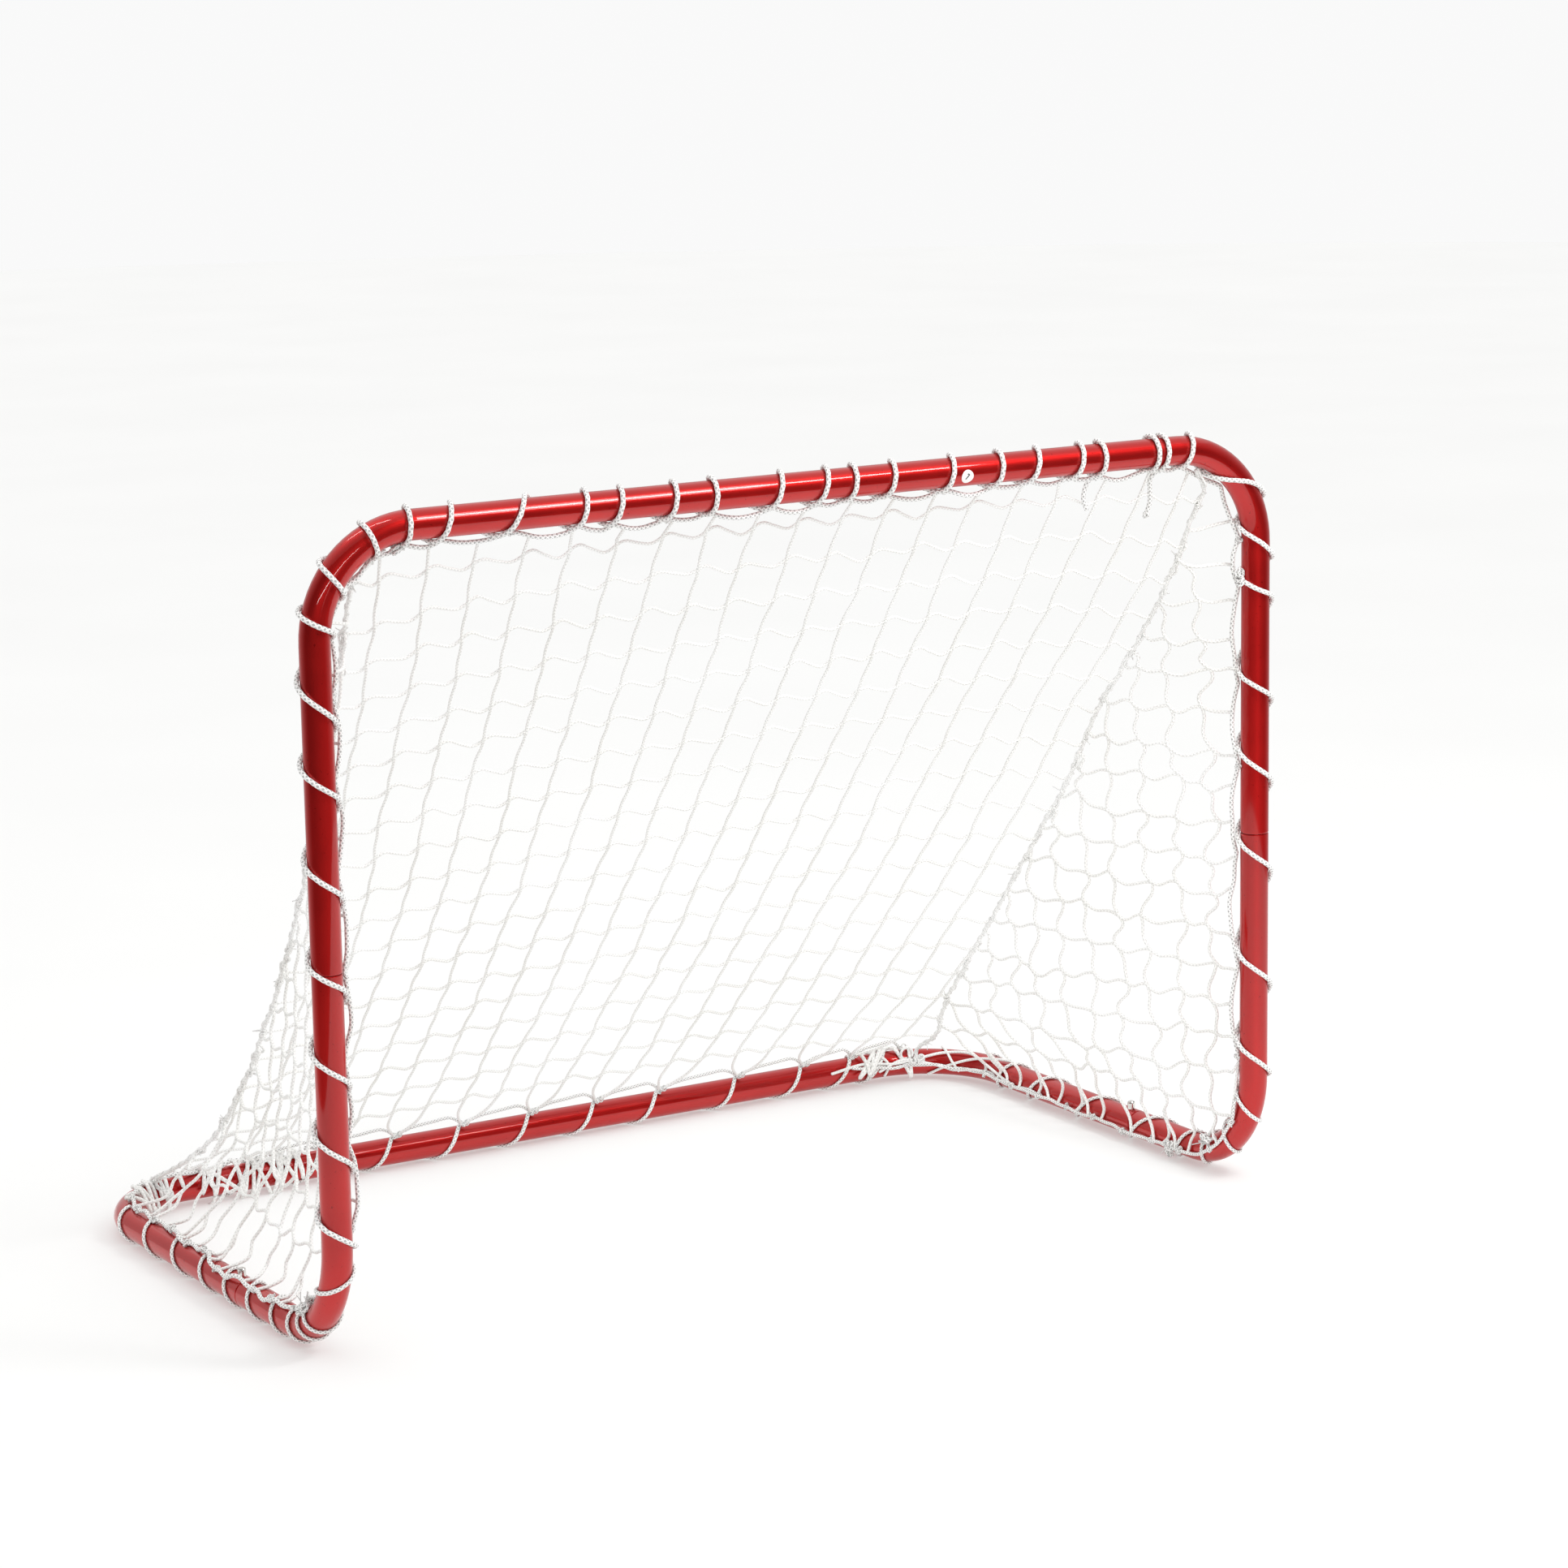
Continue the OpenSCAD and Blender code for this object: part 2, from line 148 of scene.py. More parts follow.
def base_path(s):
    """Centre, outward and upward directions of the base tube at s mm from the left post's foot."""
    s = np.asarray(s, float)
    side = np.where(s < BASE_LEN / 2, -1.0, 1.0)
    h = np.minimum(s, BASE_LEN - s)
    a = np.clip(h / BEND_LEN, 0, 1) * math.pi / 2
    b = np.clip((h - BEND_LEN - SIDE_LEN) / BEND_LEN, 0, 1) * math.pi / 2
    run = np.clip(h - BEND_LEN, 0, SIDE_LEN)
    along = np.maximum(h - 2 * BEND_LEN - SIDE_LEN, 0)
    x = HALF_W - BEND_R + BEND_R * np.cos(b) - along
    y = BEND_R - BEND_R * np.cos(a) + run + BEND_R * np.sin(b)
    z = POST_LOW - BEND_R * np.sin(a)
    zero = np.zeros_like(x)
    centre = np.stack([side * x, y, z], -1)
    out = np.stack([side * np.cos(b), np.sin(b), zero], -1)
    up = np.stack([zero, np.cos(a), np.sin(a)], -1)
    return centre, out, up


def base_at(s, degrees, reach):
    """A point at that reach from the base tube's middle, turned from outside towards the top."""
    centre, out, up = base_path(s)
    a = np.radians(np.asarray(degrees, float))[..., None]
    reach = np.asarray(reach, float)[..., None] * np.ones_like(a)
    return centre + reach * (np.cos(a) * out + np.sin(a) * up)


def smooth_path(points, step=3.0):
    """A smooth curve through a few points, sampled about every step mm."""
    p = np.asarray(points, float)
    if len(p) < 3:
        n = max(2, int(np.linalg.norm(p[-1] - p[0]) / step) + 1)
        return p[0] + (p[-1] - p[0]) * np.linspace(0, 1, n)[:, None]
    p = np.vstack([2 * p[0] - p[1], p, 2 * p[-1] - p[-2]])
    out = []
    for a, b, c, d in zip(p, p[1:], p[2:], p[3:]):
        n = max(2, int(np.linalg.norm(c - b) / step) + 1)
        t = np.linspace(0, 1, n, endpoint=False)[:, None]
        out.append(0.5 * (2 * b + (c - a) * t + (2 * a - 5 * b + 4 * c - d) * t ** 2
            + (3 * b - a - 3 * c + d) * t ** 3))
    return np.vstack(out + [p[-2:-1]])


def wobble(n, size, every, seed):
    """n x 3 soft random offsets, with a new direction about every so many samples."""
    r = np.random.default_rng(seed)
    knots = max(4, int(n / every) + 2)
    at = np.linspace(0, knots - 1, n)
    k = r.normal(0, size, (knots, 3))
    i = np.minimum(at.astype(int), knots - 2)
    f = (at - i)[:, None]
    f = f * f * (3 - 2 * f)
    return k[i] * (1 - f) + k[i + 1] * f


# ---------------------------------------------------------------- round strands as one mesh
class Strands:
    """Many strands in one mesh. UV u runs along a strand in units of its width, v around it."""

    def __init__(self):
        self.points, self.faces, self.uvs, self.count = [], [], [], 0

    def add(self, path, radius, sides=6, braid=0.0, flat=1.0, away=None):
        """Adds a strand. radius may vary along it, flat is thickness over width, towards away."""
        p = np.asarray(path, float)
        n = len(p)
        radius = np.asarray(radius, float) * np.ones(n)
        tangent = np.gradient(p, axis=0)
        tangent /= np.linalg.norm(tangent, axis=1)[:, None] + 1e-12
        if away is None:
            normal = self._carried(tangent)
        else:
            normal = away - tangent * np.sum(away * tangent, 1)[:, None]
            normal /= np.linalg.norm(normal, axis=1)[:, None] + 1e-12
        across = np.cross(tangent, normal)
        length = np.concatenate([[0], np.cumsum(np.linalg.norm(np.diff(p, axis=0), axis=1))])
        turn = np.arange(sides) / sides * 2 * math.pi
        grow = np.ones((n, sides))
        if braid:
            plait = length[:, None] / (radius.mean() * 2.6) * math.pi
            grow += braid * np.maximum(np.cos(3 * turn + plait), np.cos(3 * turn - plait))
        ring = (np.cos(turn)[None, :, None] * normal[:, None] * flat
            + np.sin(turn)[None, :, None] * across[:, None])
        verts = p[:, None] + ring * (radius[:, None] * grow)[..., None]
        a = np.arange(n - 1)[:, None] * sides + np.arange(sides)[None]
        b = np.arange(n - 1)[:, None] * sides + (np.arange(sides)[None] + 1) % sides
        quads = np.stack([a, b, b + sides, a + sides], -1).reshape(-1, 4) + self.count
        u0 = np.broadcast_to((length[:-1] / (2 * radius.mean()))[:, None], a.shape)
        u1 = np.broadcast_to((length[1:] / (2 * radius.mean()))[:, None], a.shape)
        v0 = np.broadcast_to(np.arange(sides)[None] / sides, a.shape)
        v1 = v0 + 1 / sides
        uv = np.stack([np.stack([u0, v0], -1), np.stack([u0, v1], -1),
            np.stack([u1, v1], -1), np.stack([u1, v0], -1)], 2).reshape(-1, 4, 2)
        caps = self.count + n * sides
        tips = np.stack([p[0] - tangent[0] * radius[0] * 0.6, p[-1] + tangent[-1] * radius[-1] * 0.6])
        ends = []
        for j in range(sides):
            k = (j + 1) % sides
            ends.append([caps, self.count + k, self.count + j])
            ends.append([caps + 1, self.count + (n - 1) * sides + j, self.count + (n - 1) * sides + k])
        self.points += [verts.reshape(-1, 3), tips]
        self.faces += [quads, np.array(ends)]
        self.uvs += [uv.reshape(-1, 2), np.zeros((len(ends) * 3, 2))]
        self.count += n * sides + 2

    def cord(self, path, radius):
        """Adds a round braided cord."""
        self.add(path, radius, sides=8, braid=CORD_RELIEF)

    @staticmethod
    def _carried(tangent):
        """A normal carried along the tangents without twist."""
        t = tangent[0]
        start = np.cross(t, [0, 0, 1.0] if abs(t[2]) < 0.9 else [1.0, 0, 0])
        out = [start / np.linalg.norm(start)]
        for t in tangent[1:]:
            v = out[-1] - t * np.dot(out[-1], t)
            out.append(v / (np.linalg.norm(v) + 1e-12))
        return np.array(out)

    def piece(self, name, material, body="frame"):
        """Makes the object, in the shared frame, riding on a body."""
        co = to_frame(np.vstack(self.points))
        sizes = np.concatenate([np.full(len(f), f.shape[1]) for f in self.faces])
        loops = np.concatenate([f.reshape(-1) for f in self.faces])
        mesh = bpy.data.meshes.new(name)
        mesh.vertices.add(len(co))
        mesh.vertices.foreach_set("co", co.reshape(-1))
        mesh.loops.add(len(loops))
        mesh.loops.foreach_set("vertex_index", loops.astype(np.int32))
        mesh.polygons.add(len(sizes))
        starts = np.concatenate([[0], np.cumsum(sizes)[:-1]])
        mesh.polygons.foreach_set("loop_start", starts.astype(np.int32))
        mesh.polygons.foreach_set("use_smooth", np.ones(len(sizes), bool))
        layer = mesh.uv_layers.new(name="UVMap")
        layer.data.foreach_set("uv", np.vstack(self.uvs).reshape(-1))
        mesh.update(calc_edges=True)
        mesh.validate()
        obj = new_object(name, mesh)
        mesh.materials.append(material)
        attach(obj, body)
        return obj


def knot(strands, centre, size, turns=1.6, seed=0, radius=TWINE_R):
    """A small tight knot: a few wound turns of twine round a random axis."""
    r = np.random.default_rng(seed)
    axis = r.normal(size=3)
    axis /= np.linalg.norm(axis)
    u = np.cross(axis, r.normal(size=3))
    u /= np.linalg.norm(u)
    v = np.cross(axis, u)
    t = np.linspace(0, turns, int(turns * 14) + 2)[:, None]
    a = t * 2 * math.pi
    swell = 0.75 + 0.25 * np.sin(a * 1.7 + r.uniform(0, 6))
    path = (np.asarray(centre, float) + size * swell * (np.cos(a) * u + np.sin(a) * v * 0.8)
        + axis * size * (t / turns - 0.5) * 1.4)
    strands.add(path, radius, sides=6)


def tuft(strands, centre, size, count, seed, radius=0.55):
    """A frayed end: fine filaments that leave one point and curl."""
    r = np.random.default_rng(seed)
    lean = r.normal(size=3)
    lean /= np.linalg.norm(lean)
    for _ in range(count):
        d = lean + r.normal(0, 0.55, 3)
        d /= np.linalg.norm(d)
        bend = r.normal(0, 0.5, 3)
        t = np.linspace(0, 1, 6)[:, None]
        strands.add(np.asarray(centre, float) + size * (d * t + bend * t * t * 0.6), radius, sides=4)


# ---------------------------------------------------------------- materials
def nodes_of(name):
    """A new material with its node tree and its shader."""
    material = bpy.data.materials.new(name)
    material.use_nodes = True
    tree = material.node_tree
    return material, tree, tree.nodes["Principled BSDF"]


def noise(tree, scale, detail=3.0):
    """Noise over the object's own coordinates, in metres."""
    where = tree.nodes.new("ShaderNodeTexCoord")
    made = tree.nodes.new("ShaderNodeTexNoise")
    made.inputs["Scale"].default_value = scale
    made.inputs["Detail"].default_value = detail
    tree.links.new(where.outputs["Object"], made.inputs["Vector"])
    return made


def ramp(tree, source, stops):
    """A colour ramp over source, through (place, colour) stops."""
    made = tree.nodes.new("ShaderNodeValToRGB")
    band = made.color_ramp
    while len(band.elements) < len(stops):
        band.elements.new(0.5)
    for element, (place, colour) in zip(band.elements, stops):
        element.position = place
        element.color = (*colour, 1)
    tree.links.new(source, made.inputs["Fac"])
    return made


def multiply(tree, ground, spots, share, shader):
    """Colours the shader with a ramp that a second ramp darkens, by up to the given share."""
    mix = tree.nodes.new("ShaderNodeMix")
    mix.data_type = "RGBA"
    mix.blend_type = "MULTIPLY"
    mix.inputs["Factor"].default_value = share
    tree.links.new(ground.outputs["Color"], mix.inputs["A"])
    tree.links.new(spots.outputs["Color"], mix.inputs["B"])
    tree.links.new(mix.outputs["Result"], shader.inputs["Base Color"])


def bump(tree, source, shader, strength, distance):
    """Raises the shader's surface by source, by up to distance metres."""
    made = tree.nodes.new("ShaderNodeBump")
    made.inputs["Strength"].default_value = strength
    made.inputs["Distance"].default_value = distance
    tree.links.new(source, made.inputs["Height"])
    tree.links.new(made.outputs["Normal"], shader.inputs["Normal"])


def red_paint():
    """Glossy red enamel on steel tube, with a faint orange peel and small rubbed spots."""
    material, tree, shader = nodes_of("red_paint")
    mottle = ramp(tree, noise(tree, 14, 4).outputs["Fac"],
        [(0.3, (0.50, 0.011, 0.011)), (0.7, (0.56, 0.014, 0.013))])
    specks = ramp(tree, noise(tree, 260, 2).outputs["Fac"],
        [(0.24, (0.30, 0.010, 0.016)), (0.30, (1, 1, 1))])
    multiply(tree, mottle, specks, 0.6, shader)
    rough = ramp(tree, noise(tree, 30, 5).outputs["Fac"],
        [(0.3, (0.38,) * 3), (0.75, (0.48,) * 3)])
    tree.links.new(rough.outputs["Color"], shader.inputs["Roughness"])
    shader.inputs["Metallic"].default_value = 0.80
    shader.inputs["Specular Tint"].default_value = (0.75, 0.07, 0.03, 1)
    shader.inputs["Coat Weight"].default_value = 1.0
    shader.inputs["Coat Roughness"].default_value = 0.05
    bump(tree, noise(tree, 420, 2).outputs["Fac"], shader, 0.06, 0.0004)
    return material


def chrome_steel():
    """Bright nickel-plated steel with fine polishing marks."""
    material, tree, shader = nodes_of("chrome_steel")
    tone = ramp(tree, noise(tree, 300, 3).outputs["Fac"],
        [(0.3, (0.62, 0.60, 0.57)), (0.7, (0.84, 0.82, 0.79))])
    tree.links.new(tone.outputs["Color"], shader.inputs["Base Color"])
    rough = ramp(tree, noise(tree, 900, 3).outputs["Fac"],
        [(0.3, (0.08,) * 3), (0.7, (0.18,) * 3)])
    tree.links.new(rough.outputs["Color"], shader.inputs["Roughness"])
    shader.inputs["Metallic"].default_value = 1.0
    bump(tree, noise(tree, 700, 2).outputs["Fac"], shader, 0.05, 0.0003)
    return material


def plait_height(tree, per_width, around):
    """Height of crossing plaits from the strand's UVs: two sets of slanted waves."""
    where = tree.nodes.new("ShaderNodeTexCoord")
    waves = []
    for slant in (around, -around):
        turned = tree.nodes.new("ShaderNodeVectorMath")
        turned.operation = "DOT_PRODUCT"
        turned.inputs[1].default_value = (per_width * 2 * math.pi, slant * 2 * math.pi, 0)
        tree.links.new(where.outputs["UV"], turned.inputs[0])
        wave = tree.nodes.new("ShaderNodeMath")
        wave.operation = "SINE"
        tree.links.new(turned.outputs["Value"], wave.inputs[0])
        waves.append(wave)
    top = tree.nodes.new("ShaderNodeMath")
    top.operation = "MAXIMUM"
    tree.links.new(waves[0].outputs[0], top.inputs[0])
    tree.links.new(waves[1].outputs[0], top.inputs[1])
    return top


def braided(name, light, dark, per_width, around, depth):
    """White braided polyester: plaits, painted shade in the grooves between them (the colour darkens with
    the plaits' height, on top of the bump) and a soft sheen.
    """
    material, tree, shader = nodes_of(name)
    plait = plait_height(tree, per_width, around)
    # painted shade: the colour runs from the dark one in the grooves between plaits to the light one on
    # their crowns
    tone = ramp(tree, plait.outputs[0], [(0.0, dark), (0.55, light)])
    soil = ramp(tree, noise(tree, 9, 4).outputs["Fac"],
        [(0.35, (0.93, 0.925, 0.91)), (0.65, (1, 1, 1))])
    multiply(tree, tone, soil, 1.0, shader)
    rough = ramp(tree, noise(tree, 60, 3).outputs["Fac"],
        [(0.3, (0.55,) * 3), (0.7, (0.75,) * 3)])
    tree.links.new(rough.outputs["Color"], shader.inputs["Roughness"])
    shader.inputs["Specular IOR Level"].default_value = 0.12
    shader.inputs["Sheen Weight"].default_value = 0.04
    shader.inputs["Sheen Roughness"].default_value = 0.4
    bump(tree, plait.outputs[0], shader, 0.5, depth)
    return material


def sticker_vinyl():
    """White vinyl with a faint grain."""
    material, tree, shader = nodes_of("sticker_vinyl")
    tone = ramp(tree, noise(tree, 120, 3).outputs["Fac"],
        [(0.3, (0.80, 0.79, 0.77)), (0.7, (0.90, 0.89, 0.87))])
    tree.links.new(tone.outputs["Color"], shader.inputs["Base Color"])
    shader.inputs["Roughness"].default_value = 0.35
    bump(tree, noise(tree, 500, 2).outputs["Fac"], shader, 0.05, 0.0002)
    return material


def sticker_ink():
    """Dark printing ink with a faint mottle."""
    material, tree, shader = nodes_of("sticker_ink")
    tone = ramp(tree, noise(tree, 300, 3).outputs["Fac"],
        [(0.3, (0.02, 0.02, 0.022)), (0.7, (0.06, 0.06, 0.065))])
    tree.links.new(tone.outputs["Color"], shader.inputs["Base Color"])
    shader.inputs["Roughness"].default_value = 0.5
    return material


PAINT = red_paint()
CHROME = chrome_steel()
# the second colour of each braided material is the painted shade in the grooves between its plaits
CORD = braided("lacing_cord", (0.95, 0.95, 0.94), (0.50, 0.495, 0.49), 0.9, 3, 0.0005)
TWINE = braided("net_twine", (0.95, 0.95, 0.935), (0.80, 0.80, 0.785), 0.8, 2, 0.0003)
ROPE = braided("soft_rope", (0.92, 0.92, 0.91), (0.80, 0.80, 0.79), 0.9, 2, 0.0003)
VINYL = sticker_vinyl()
INK = sticker_ink()


# ---------------------------------------------------------------- camera, floor and light
def camera():
    """The photograph's viewing angle: left of the goal, a little above it, with a slight tilt."""
    azimuth, elevation, roll = np.radians([31.2889, -11.3137, -0.966])
    place = (-2.4399, -4.2600, 1.4665)
    made = bpy.data.cameras.new("camera")
    made.lens = 102.47
    made.sensor_width = 36
    made.clip_end = 100
    obj = new_object("camera", made)
    forward = Vector((math.sin(azimuth), math.cos(azimuth), math.tan(elevation))).normalized()
    level = Vector((math.cos(azimuth), -math.sin(azimuth), 0))
    raised = level.cross(forward)
    right = math.cos(roll) * level + math.sin(roll) * raised
    up = right.cross(forward)
    turn = Matrix((right, up, -forward)).transposed().to_4x4()
    obj.matrix_world = Matrix.Translation(place) @ turn
    bpy.context.scene.camera = obj


def floor_material():
    """Pale paper that glows a little, so that it stays white in the camera."""
    material, tree, shader = nodes_of("pale_floor")
    tone = ramp(tree, noise(tree, 1.5, 2).outputs["Fac"],
        [(0.3, (0.545, 0.545, 0.54)), (0.7, (0.555, 0.555, 0.55))])
    tree.links.new(tone.outputs["Color"], shader.inputs["Base Color"])
    tree.links.new(tone.outputs["Color"], shader.inputs["Emission Color"])
    shader.inputs["Emission Strength"].default_value = 0.66
    shader.inputs["Roughness"].default_value = 0.8
    shader.inputs["Specular IOR Level"].default_value = 0.1
    return material


def floor():
    """A near floor that the goal reflects, and a far one that only carries on to the horizon."""
    near, far = 1.9, 14.0
    middle = (0.3, -0.4)
    n = 96
    material = floor_material()
    turns = np.linspace(0, 2 * math.pi, n + 1)[:-1]
    inner, rim = [[(middle[0] + r * math.cos(a), middle[1] + r * math.sin(a), 0) for a in turns]
        for r in (near, far)]
    disc = bpy.data.meshes.new("floor")
    disc.from_pydata(inner, [], [list(range(n))])
    outer = bpy.data.meshes.new("far_floor")
    outer.from_pydata(inner + rim, [],
        [[n + i, n + (i + 1) % n, (i + 1) % n, i] for i in range(n)])
    for mesh in (disc, outer):
        obj = new_object(mesh.name, mesh)
        mesh.materials.append(material)
        if mesh is outer:
            obj.visible_glossy = False
            obj.visible_diffuse = False


def area(name, place, target, size, power):
    """A soft box at place, pointing at target."""
    light = bpy.data.lights.new(name, "AREA")
    light.shape = "RECTANGLE"
    light.size, light.size_y = size
    light.energy = power
    obj = new_object(name, light)
    obj.location = place
    obj.rotation_euler = (Vector(target) - Vector(place)).to_track_quat("-Z", "Y").to_euler()
    obj.visible_camera = False
    return obj


def lights():
    """A broad overhead light, boxes and strips for the streaks on the tubes, and a soft spot."""
    sun = bpy.data.lights.new("overhead", "SUN")
    sun.energy = 0.6
    sun.angle = math.radians(100)
    new_object("overhead", sun).rotation_euler = (math.radians(-12), math.radians(4), 0)
    area("streak", (0.95, -1.62, 2.25), (0.95, -0.3, 0.85), (1.0, 0.28), 15)
    area("streak_glow", (0.78, -1.68, 2.31), (0.78, -0.3, 0.85), (0.7, 1.0), 12)
    left_bend = Vector((-0.55, -0.31, 0.80))
    for name, ends, power in (("bend_front", ((-1.95, -1.64, 1.34), (-0.28, -2.20, 1.42)), 5),
            ("bend_top", ((-0.95, 0.25, 2.05), (-0.25, -0.60, 2.25)), 3)):
        a, b = Vector(ends[0]), Vector(ends[1])
        strip = area(name, (a + b) / 2, left_bend, ((b - a).length, 0.07), power)
        across = (b - a).normalized()
        facing = (strip.location - left_bend).normalized()
        facing = (facing - across * facing.dot(across)).normalized()
        strip.rotation_euler = Matrix((across, facing.cross(across), facing)).transposed().to_euler()
        strip.visible_diffuse = False
    spot = bpy.data.lights.new("right_post_spot", "SPOT")
    spot.energy = 100
    spot.spot_size = math.radians(34)
    spot.spot_blend = 1.0
    spot.shadow_soft_size = 0.9
    obj = new_object("right_post_spot", spot)
    obj.location = (0.1, -2.3, 0.9)
    aim = Vector((0.62, -0.31, 0.52)) - obj.location
    obj.rotation_euler = aim.to_track_quat("-Z", "Y").to_euler()


def world():
    """White behind the goal; reflections find it bright behind and dark in front."""
    made = bpy.data.worlds.new("world")
    bpy.context.scene.world = made
    made.use_nodes = True
    tree = made.node_tree
    where = tree.nodes.new("ShaderNodeTexCoord")
    behind = tree.nodes.new("ShaderNodeVectorMath")
    behind.operation = "DOT_PRODUCT"
    behind.inputs[1].default_value = (0.42, 0.90, 0.10)
    tree.links.new(where.outputs["Generated"], behind.inputs[0])
    glossy = tree.nodes.new("ShaderNodeMapRange")
    glossy.inputs["From Min"].default_value = -0.30
    glossy.inputs["From Max"].default_value = 0.80
    glossy.inputs["To Min"].default_value = 0.035
    glossy.inputs["To Max"].default_value = 0.75
    tree.links.new(behind.outputs["Value"], glossy.inputs["Value"])
    path = tree.nodes.new("ShaderNodeLightPath")
    soft = tree.nodes.new("ShaderNodeMix")
    soft.inputs["A"].default_value = 0.88
    tree.links.new(path.outputs["Is Glossy Ray"], soft.inputs["Factor"])
    tree.links.new(glossy.outputs["Result"], soft.inputs["B"])
    seen = tree.nodes.new("ShaderNodeMix")
    seen.inputs["B"].default_value = 0.95
    tree.links.new(path.outputs["Is Camera Ray"], seen.inputs["Factor"])
    tree.links.new(soft.outputs["Result"], seen.inputs["A"])
    back = tree.nodes["Background"]
    tree.links.new(seen.outputs["Result"], back.inputs["Strength"])
    back.inputs["Color"].default_value = (1, 1, 1, 1)


camera()
floor()
lights()
world()
bpy.context.scene.view_settings.view_transform = "Standard"


# ---------------------------------------------------------------- CAD pieces get their materials
def finish_of(node, material):
    """Gives a CAD piece its material, in every slot it has."""
    obj = frame["nodes"][node]
    for i in range(max(1, len(obj.material_slots))):
        if obj.material_slots:
            obj.material_slots[i].material = material
        else:
            obj.data.materials.append(material)


for node in ("top_frame", "left_corner_tube", "right_corner_tube", "rear_base_tube"):
    finish_of(node, PAINT)
for node in ("left_snap_button", "right_snap_button"):
    finish_of(node, CHROME)
finish_of("number_sticker", VINYL)


def spring_copy(node):
    """A rigid chrome steel copy of the leaf spring under a button, riding on the frame; the copy does not
    flatten as the button is pressed.
    """
    source = frame["nodes"][node]
    obj = source.copy()
    obj.data = source.data.copy()
    obj.name = node + "_steel"
    for key in list(obj.keys()):
        del obj[key]
    bpy.context.scene.collection.objects.link(obj)
    obj.parent = None
    obj.matrix_world = Matrix.Identity(4)
    obj.data.materials.clear()
    obj.data.materials.append(CHROME)
    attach(obj, "frame")
    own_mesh(obj)
    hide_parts(node)


spring_copy("left_snap_spring")
spring_copy("right_snap_spring")


def sticker_print():
    """A plain figure 1 on the sticker, printed at a slant."""
    low, high = [np.array(c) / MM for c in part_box("number_sticker")]
    middle = (low + high) / 2 - [0, MOUTH_Y, 0]
    start = math.atan2(middle[2] - BAR_Z, -middle[1])
    reach = TUBE_R + 0.45
    slant = math.radians(-40)
    verts, faces = [], []
    steps = 6
    for low_u, low_w, high_u, high_w, lean in ((-0.7, -3.4, 0.7, 3.4, 0), (-2.3, 1.6, -0.5, 2.9, 0.9)):
        first = len(verts)
        for w in np.linspace(low_w, high_w, steps + 1):
            for u in (low_u, high_u):
                tall = w + lean * (u - low_u) / (high_u - low_u)
                x = u * math.cos(slant) - tall * math.sin(slant)
                a = start + (u * math.sin(slant) + tall * math.cos(slant)) / TUBE_R
                verts.append((middle[0] + x, -reach * math.cos(a), BAR_Z + reach * math.sin(a)))
        faces += [[k, k + 1, k + 3, k + 2] for k in range(first, first + 2 * steps, 2)]
    mesh = bpy.data.meshes.new("sticker_print")
    mesh.from_pydata([tuple(p) for p in to_frame(verts)], [], faces)
    mesh.materials.append(INK)
    obj = new_object("sticker_print", mesh)
    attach(obj, "frame")


sticker_print()


# ---------------------------------------------------------------- lacing around the mouth
def lacing_route(wraps, leans, first, last, step=1.1):
    """A helix through the front crossings: it leans by the given amount over each front half
    and makes the rest of its way behind the tube, from first to last."""
    wraps = np.asarray(wraps, float)
    leans = np.asarray(leans, float)
    shift = np.interp(wraps, [POST_LEN, POST_LEN + BEND_LEN, MOUTH_LEN - POST_LEN - BEND_LEN,
        MOUTH_LEN - POST_LEN], [31, 11, 11, -31])
    turn, s = [-180], [first]
    for k in range(len(wraps)):
        turn += [360 * k - 90 + shift[k], 360 * k + shift[k], 360 * k + 90 + shift[k]]
        s += [wraps[k] - leans[k] / 2, wraps[k], wraps[k] + leans[k] / 2]
    turn, s = np.array(turn + [360 * len(wraps) - 180], float), np.array(s + [last], float)
    n = int(len(wraps) * 2 * math.pi * WRAP_REACH / step)
    t = np.linspace(turn[0], turn[-1], n)
    along = smooth_values(turn, s, t)
    return mouth_at(along, t, WRAP_REACH), mouth_at(along, t, 0.0)


def smooth_values(x, y, at):
    """Values between given ones without overshoot (monotone cubic)."""
    h = np.diff(x)
    d = np.diff(y) / h
    m = np.zeros(len(x))
    m[0], m[-1] = d[0], d[-1]
    good = d[:-1] * d[1:] > 0
    m[1:-1] = np.where(good, 2 * d[:-1] * d[1:] / np.where(good, d[:-1] + d[1:], 1), 0)
    i = np.clip(np.searchsorted(x, at) - 1, 0, len(x) - 2)
    f = (at - x[i]) / h[i]
    return ((2 * f ** 3 - 3 * f ** 2 + 1) * y[i] + (f ** 3 - 2 * f ** 2 + f) * h[i] * m[i]
        + (3 * f ** 2 - 2 * f ** 3) * y[i + 1] + (f ** 3 - f ** 2) * h[i] * m[i + 1])


def mouth_lacing(name, node, wraps, leans, first, last):
    """A round lacing cord that takes the place of a CAD lacing."""
    route, middle = lacing_route(wraps, leans, first, last)
    strands = Strands()
    strands.add(route, LACING_R, sides=12, braid=0.10, away=route - middle)
    obj = strands.piece(name, CORD)
    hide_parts(node)


mouth_lacing("mouth_lacing", "long_mouth_lacing", LONG_WRAPS, LONG_LEANS, -12, 1712)
mouth_lacing("right_post_lacing_cord", "right_post_lacing", RIGHT_WRAPS, RIGHT_LEANS, 1726, MOUTH_LEN + 12)


# ---------------------------------------------------------------- lacing around the base
BASE_CORD_R = 2.3
BASE_REACH = TUBE_R + 1.9

# Where each turn passes under the tube, from the foot of its post (mm)
LEFT_WRAPS = [36, 98, 120, 144, 180, 236, 294, 354, 424, 500, 572]
RIGHT_SIDE_WRAPS = [46, 98, 150, 200, 300, 410, 510, 572]
REAR_MIDDLE = BASE_LEN / 2


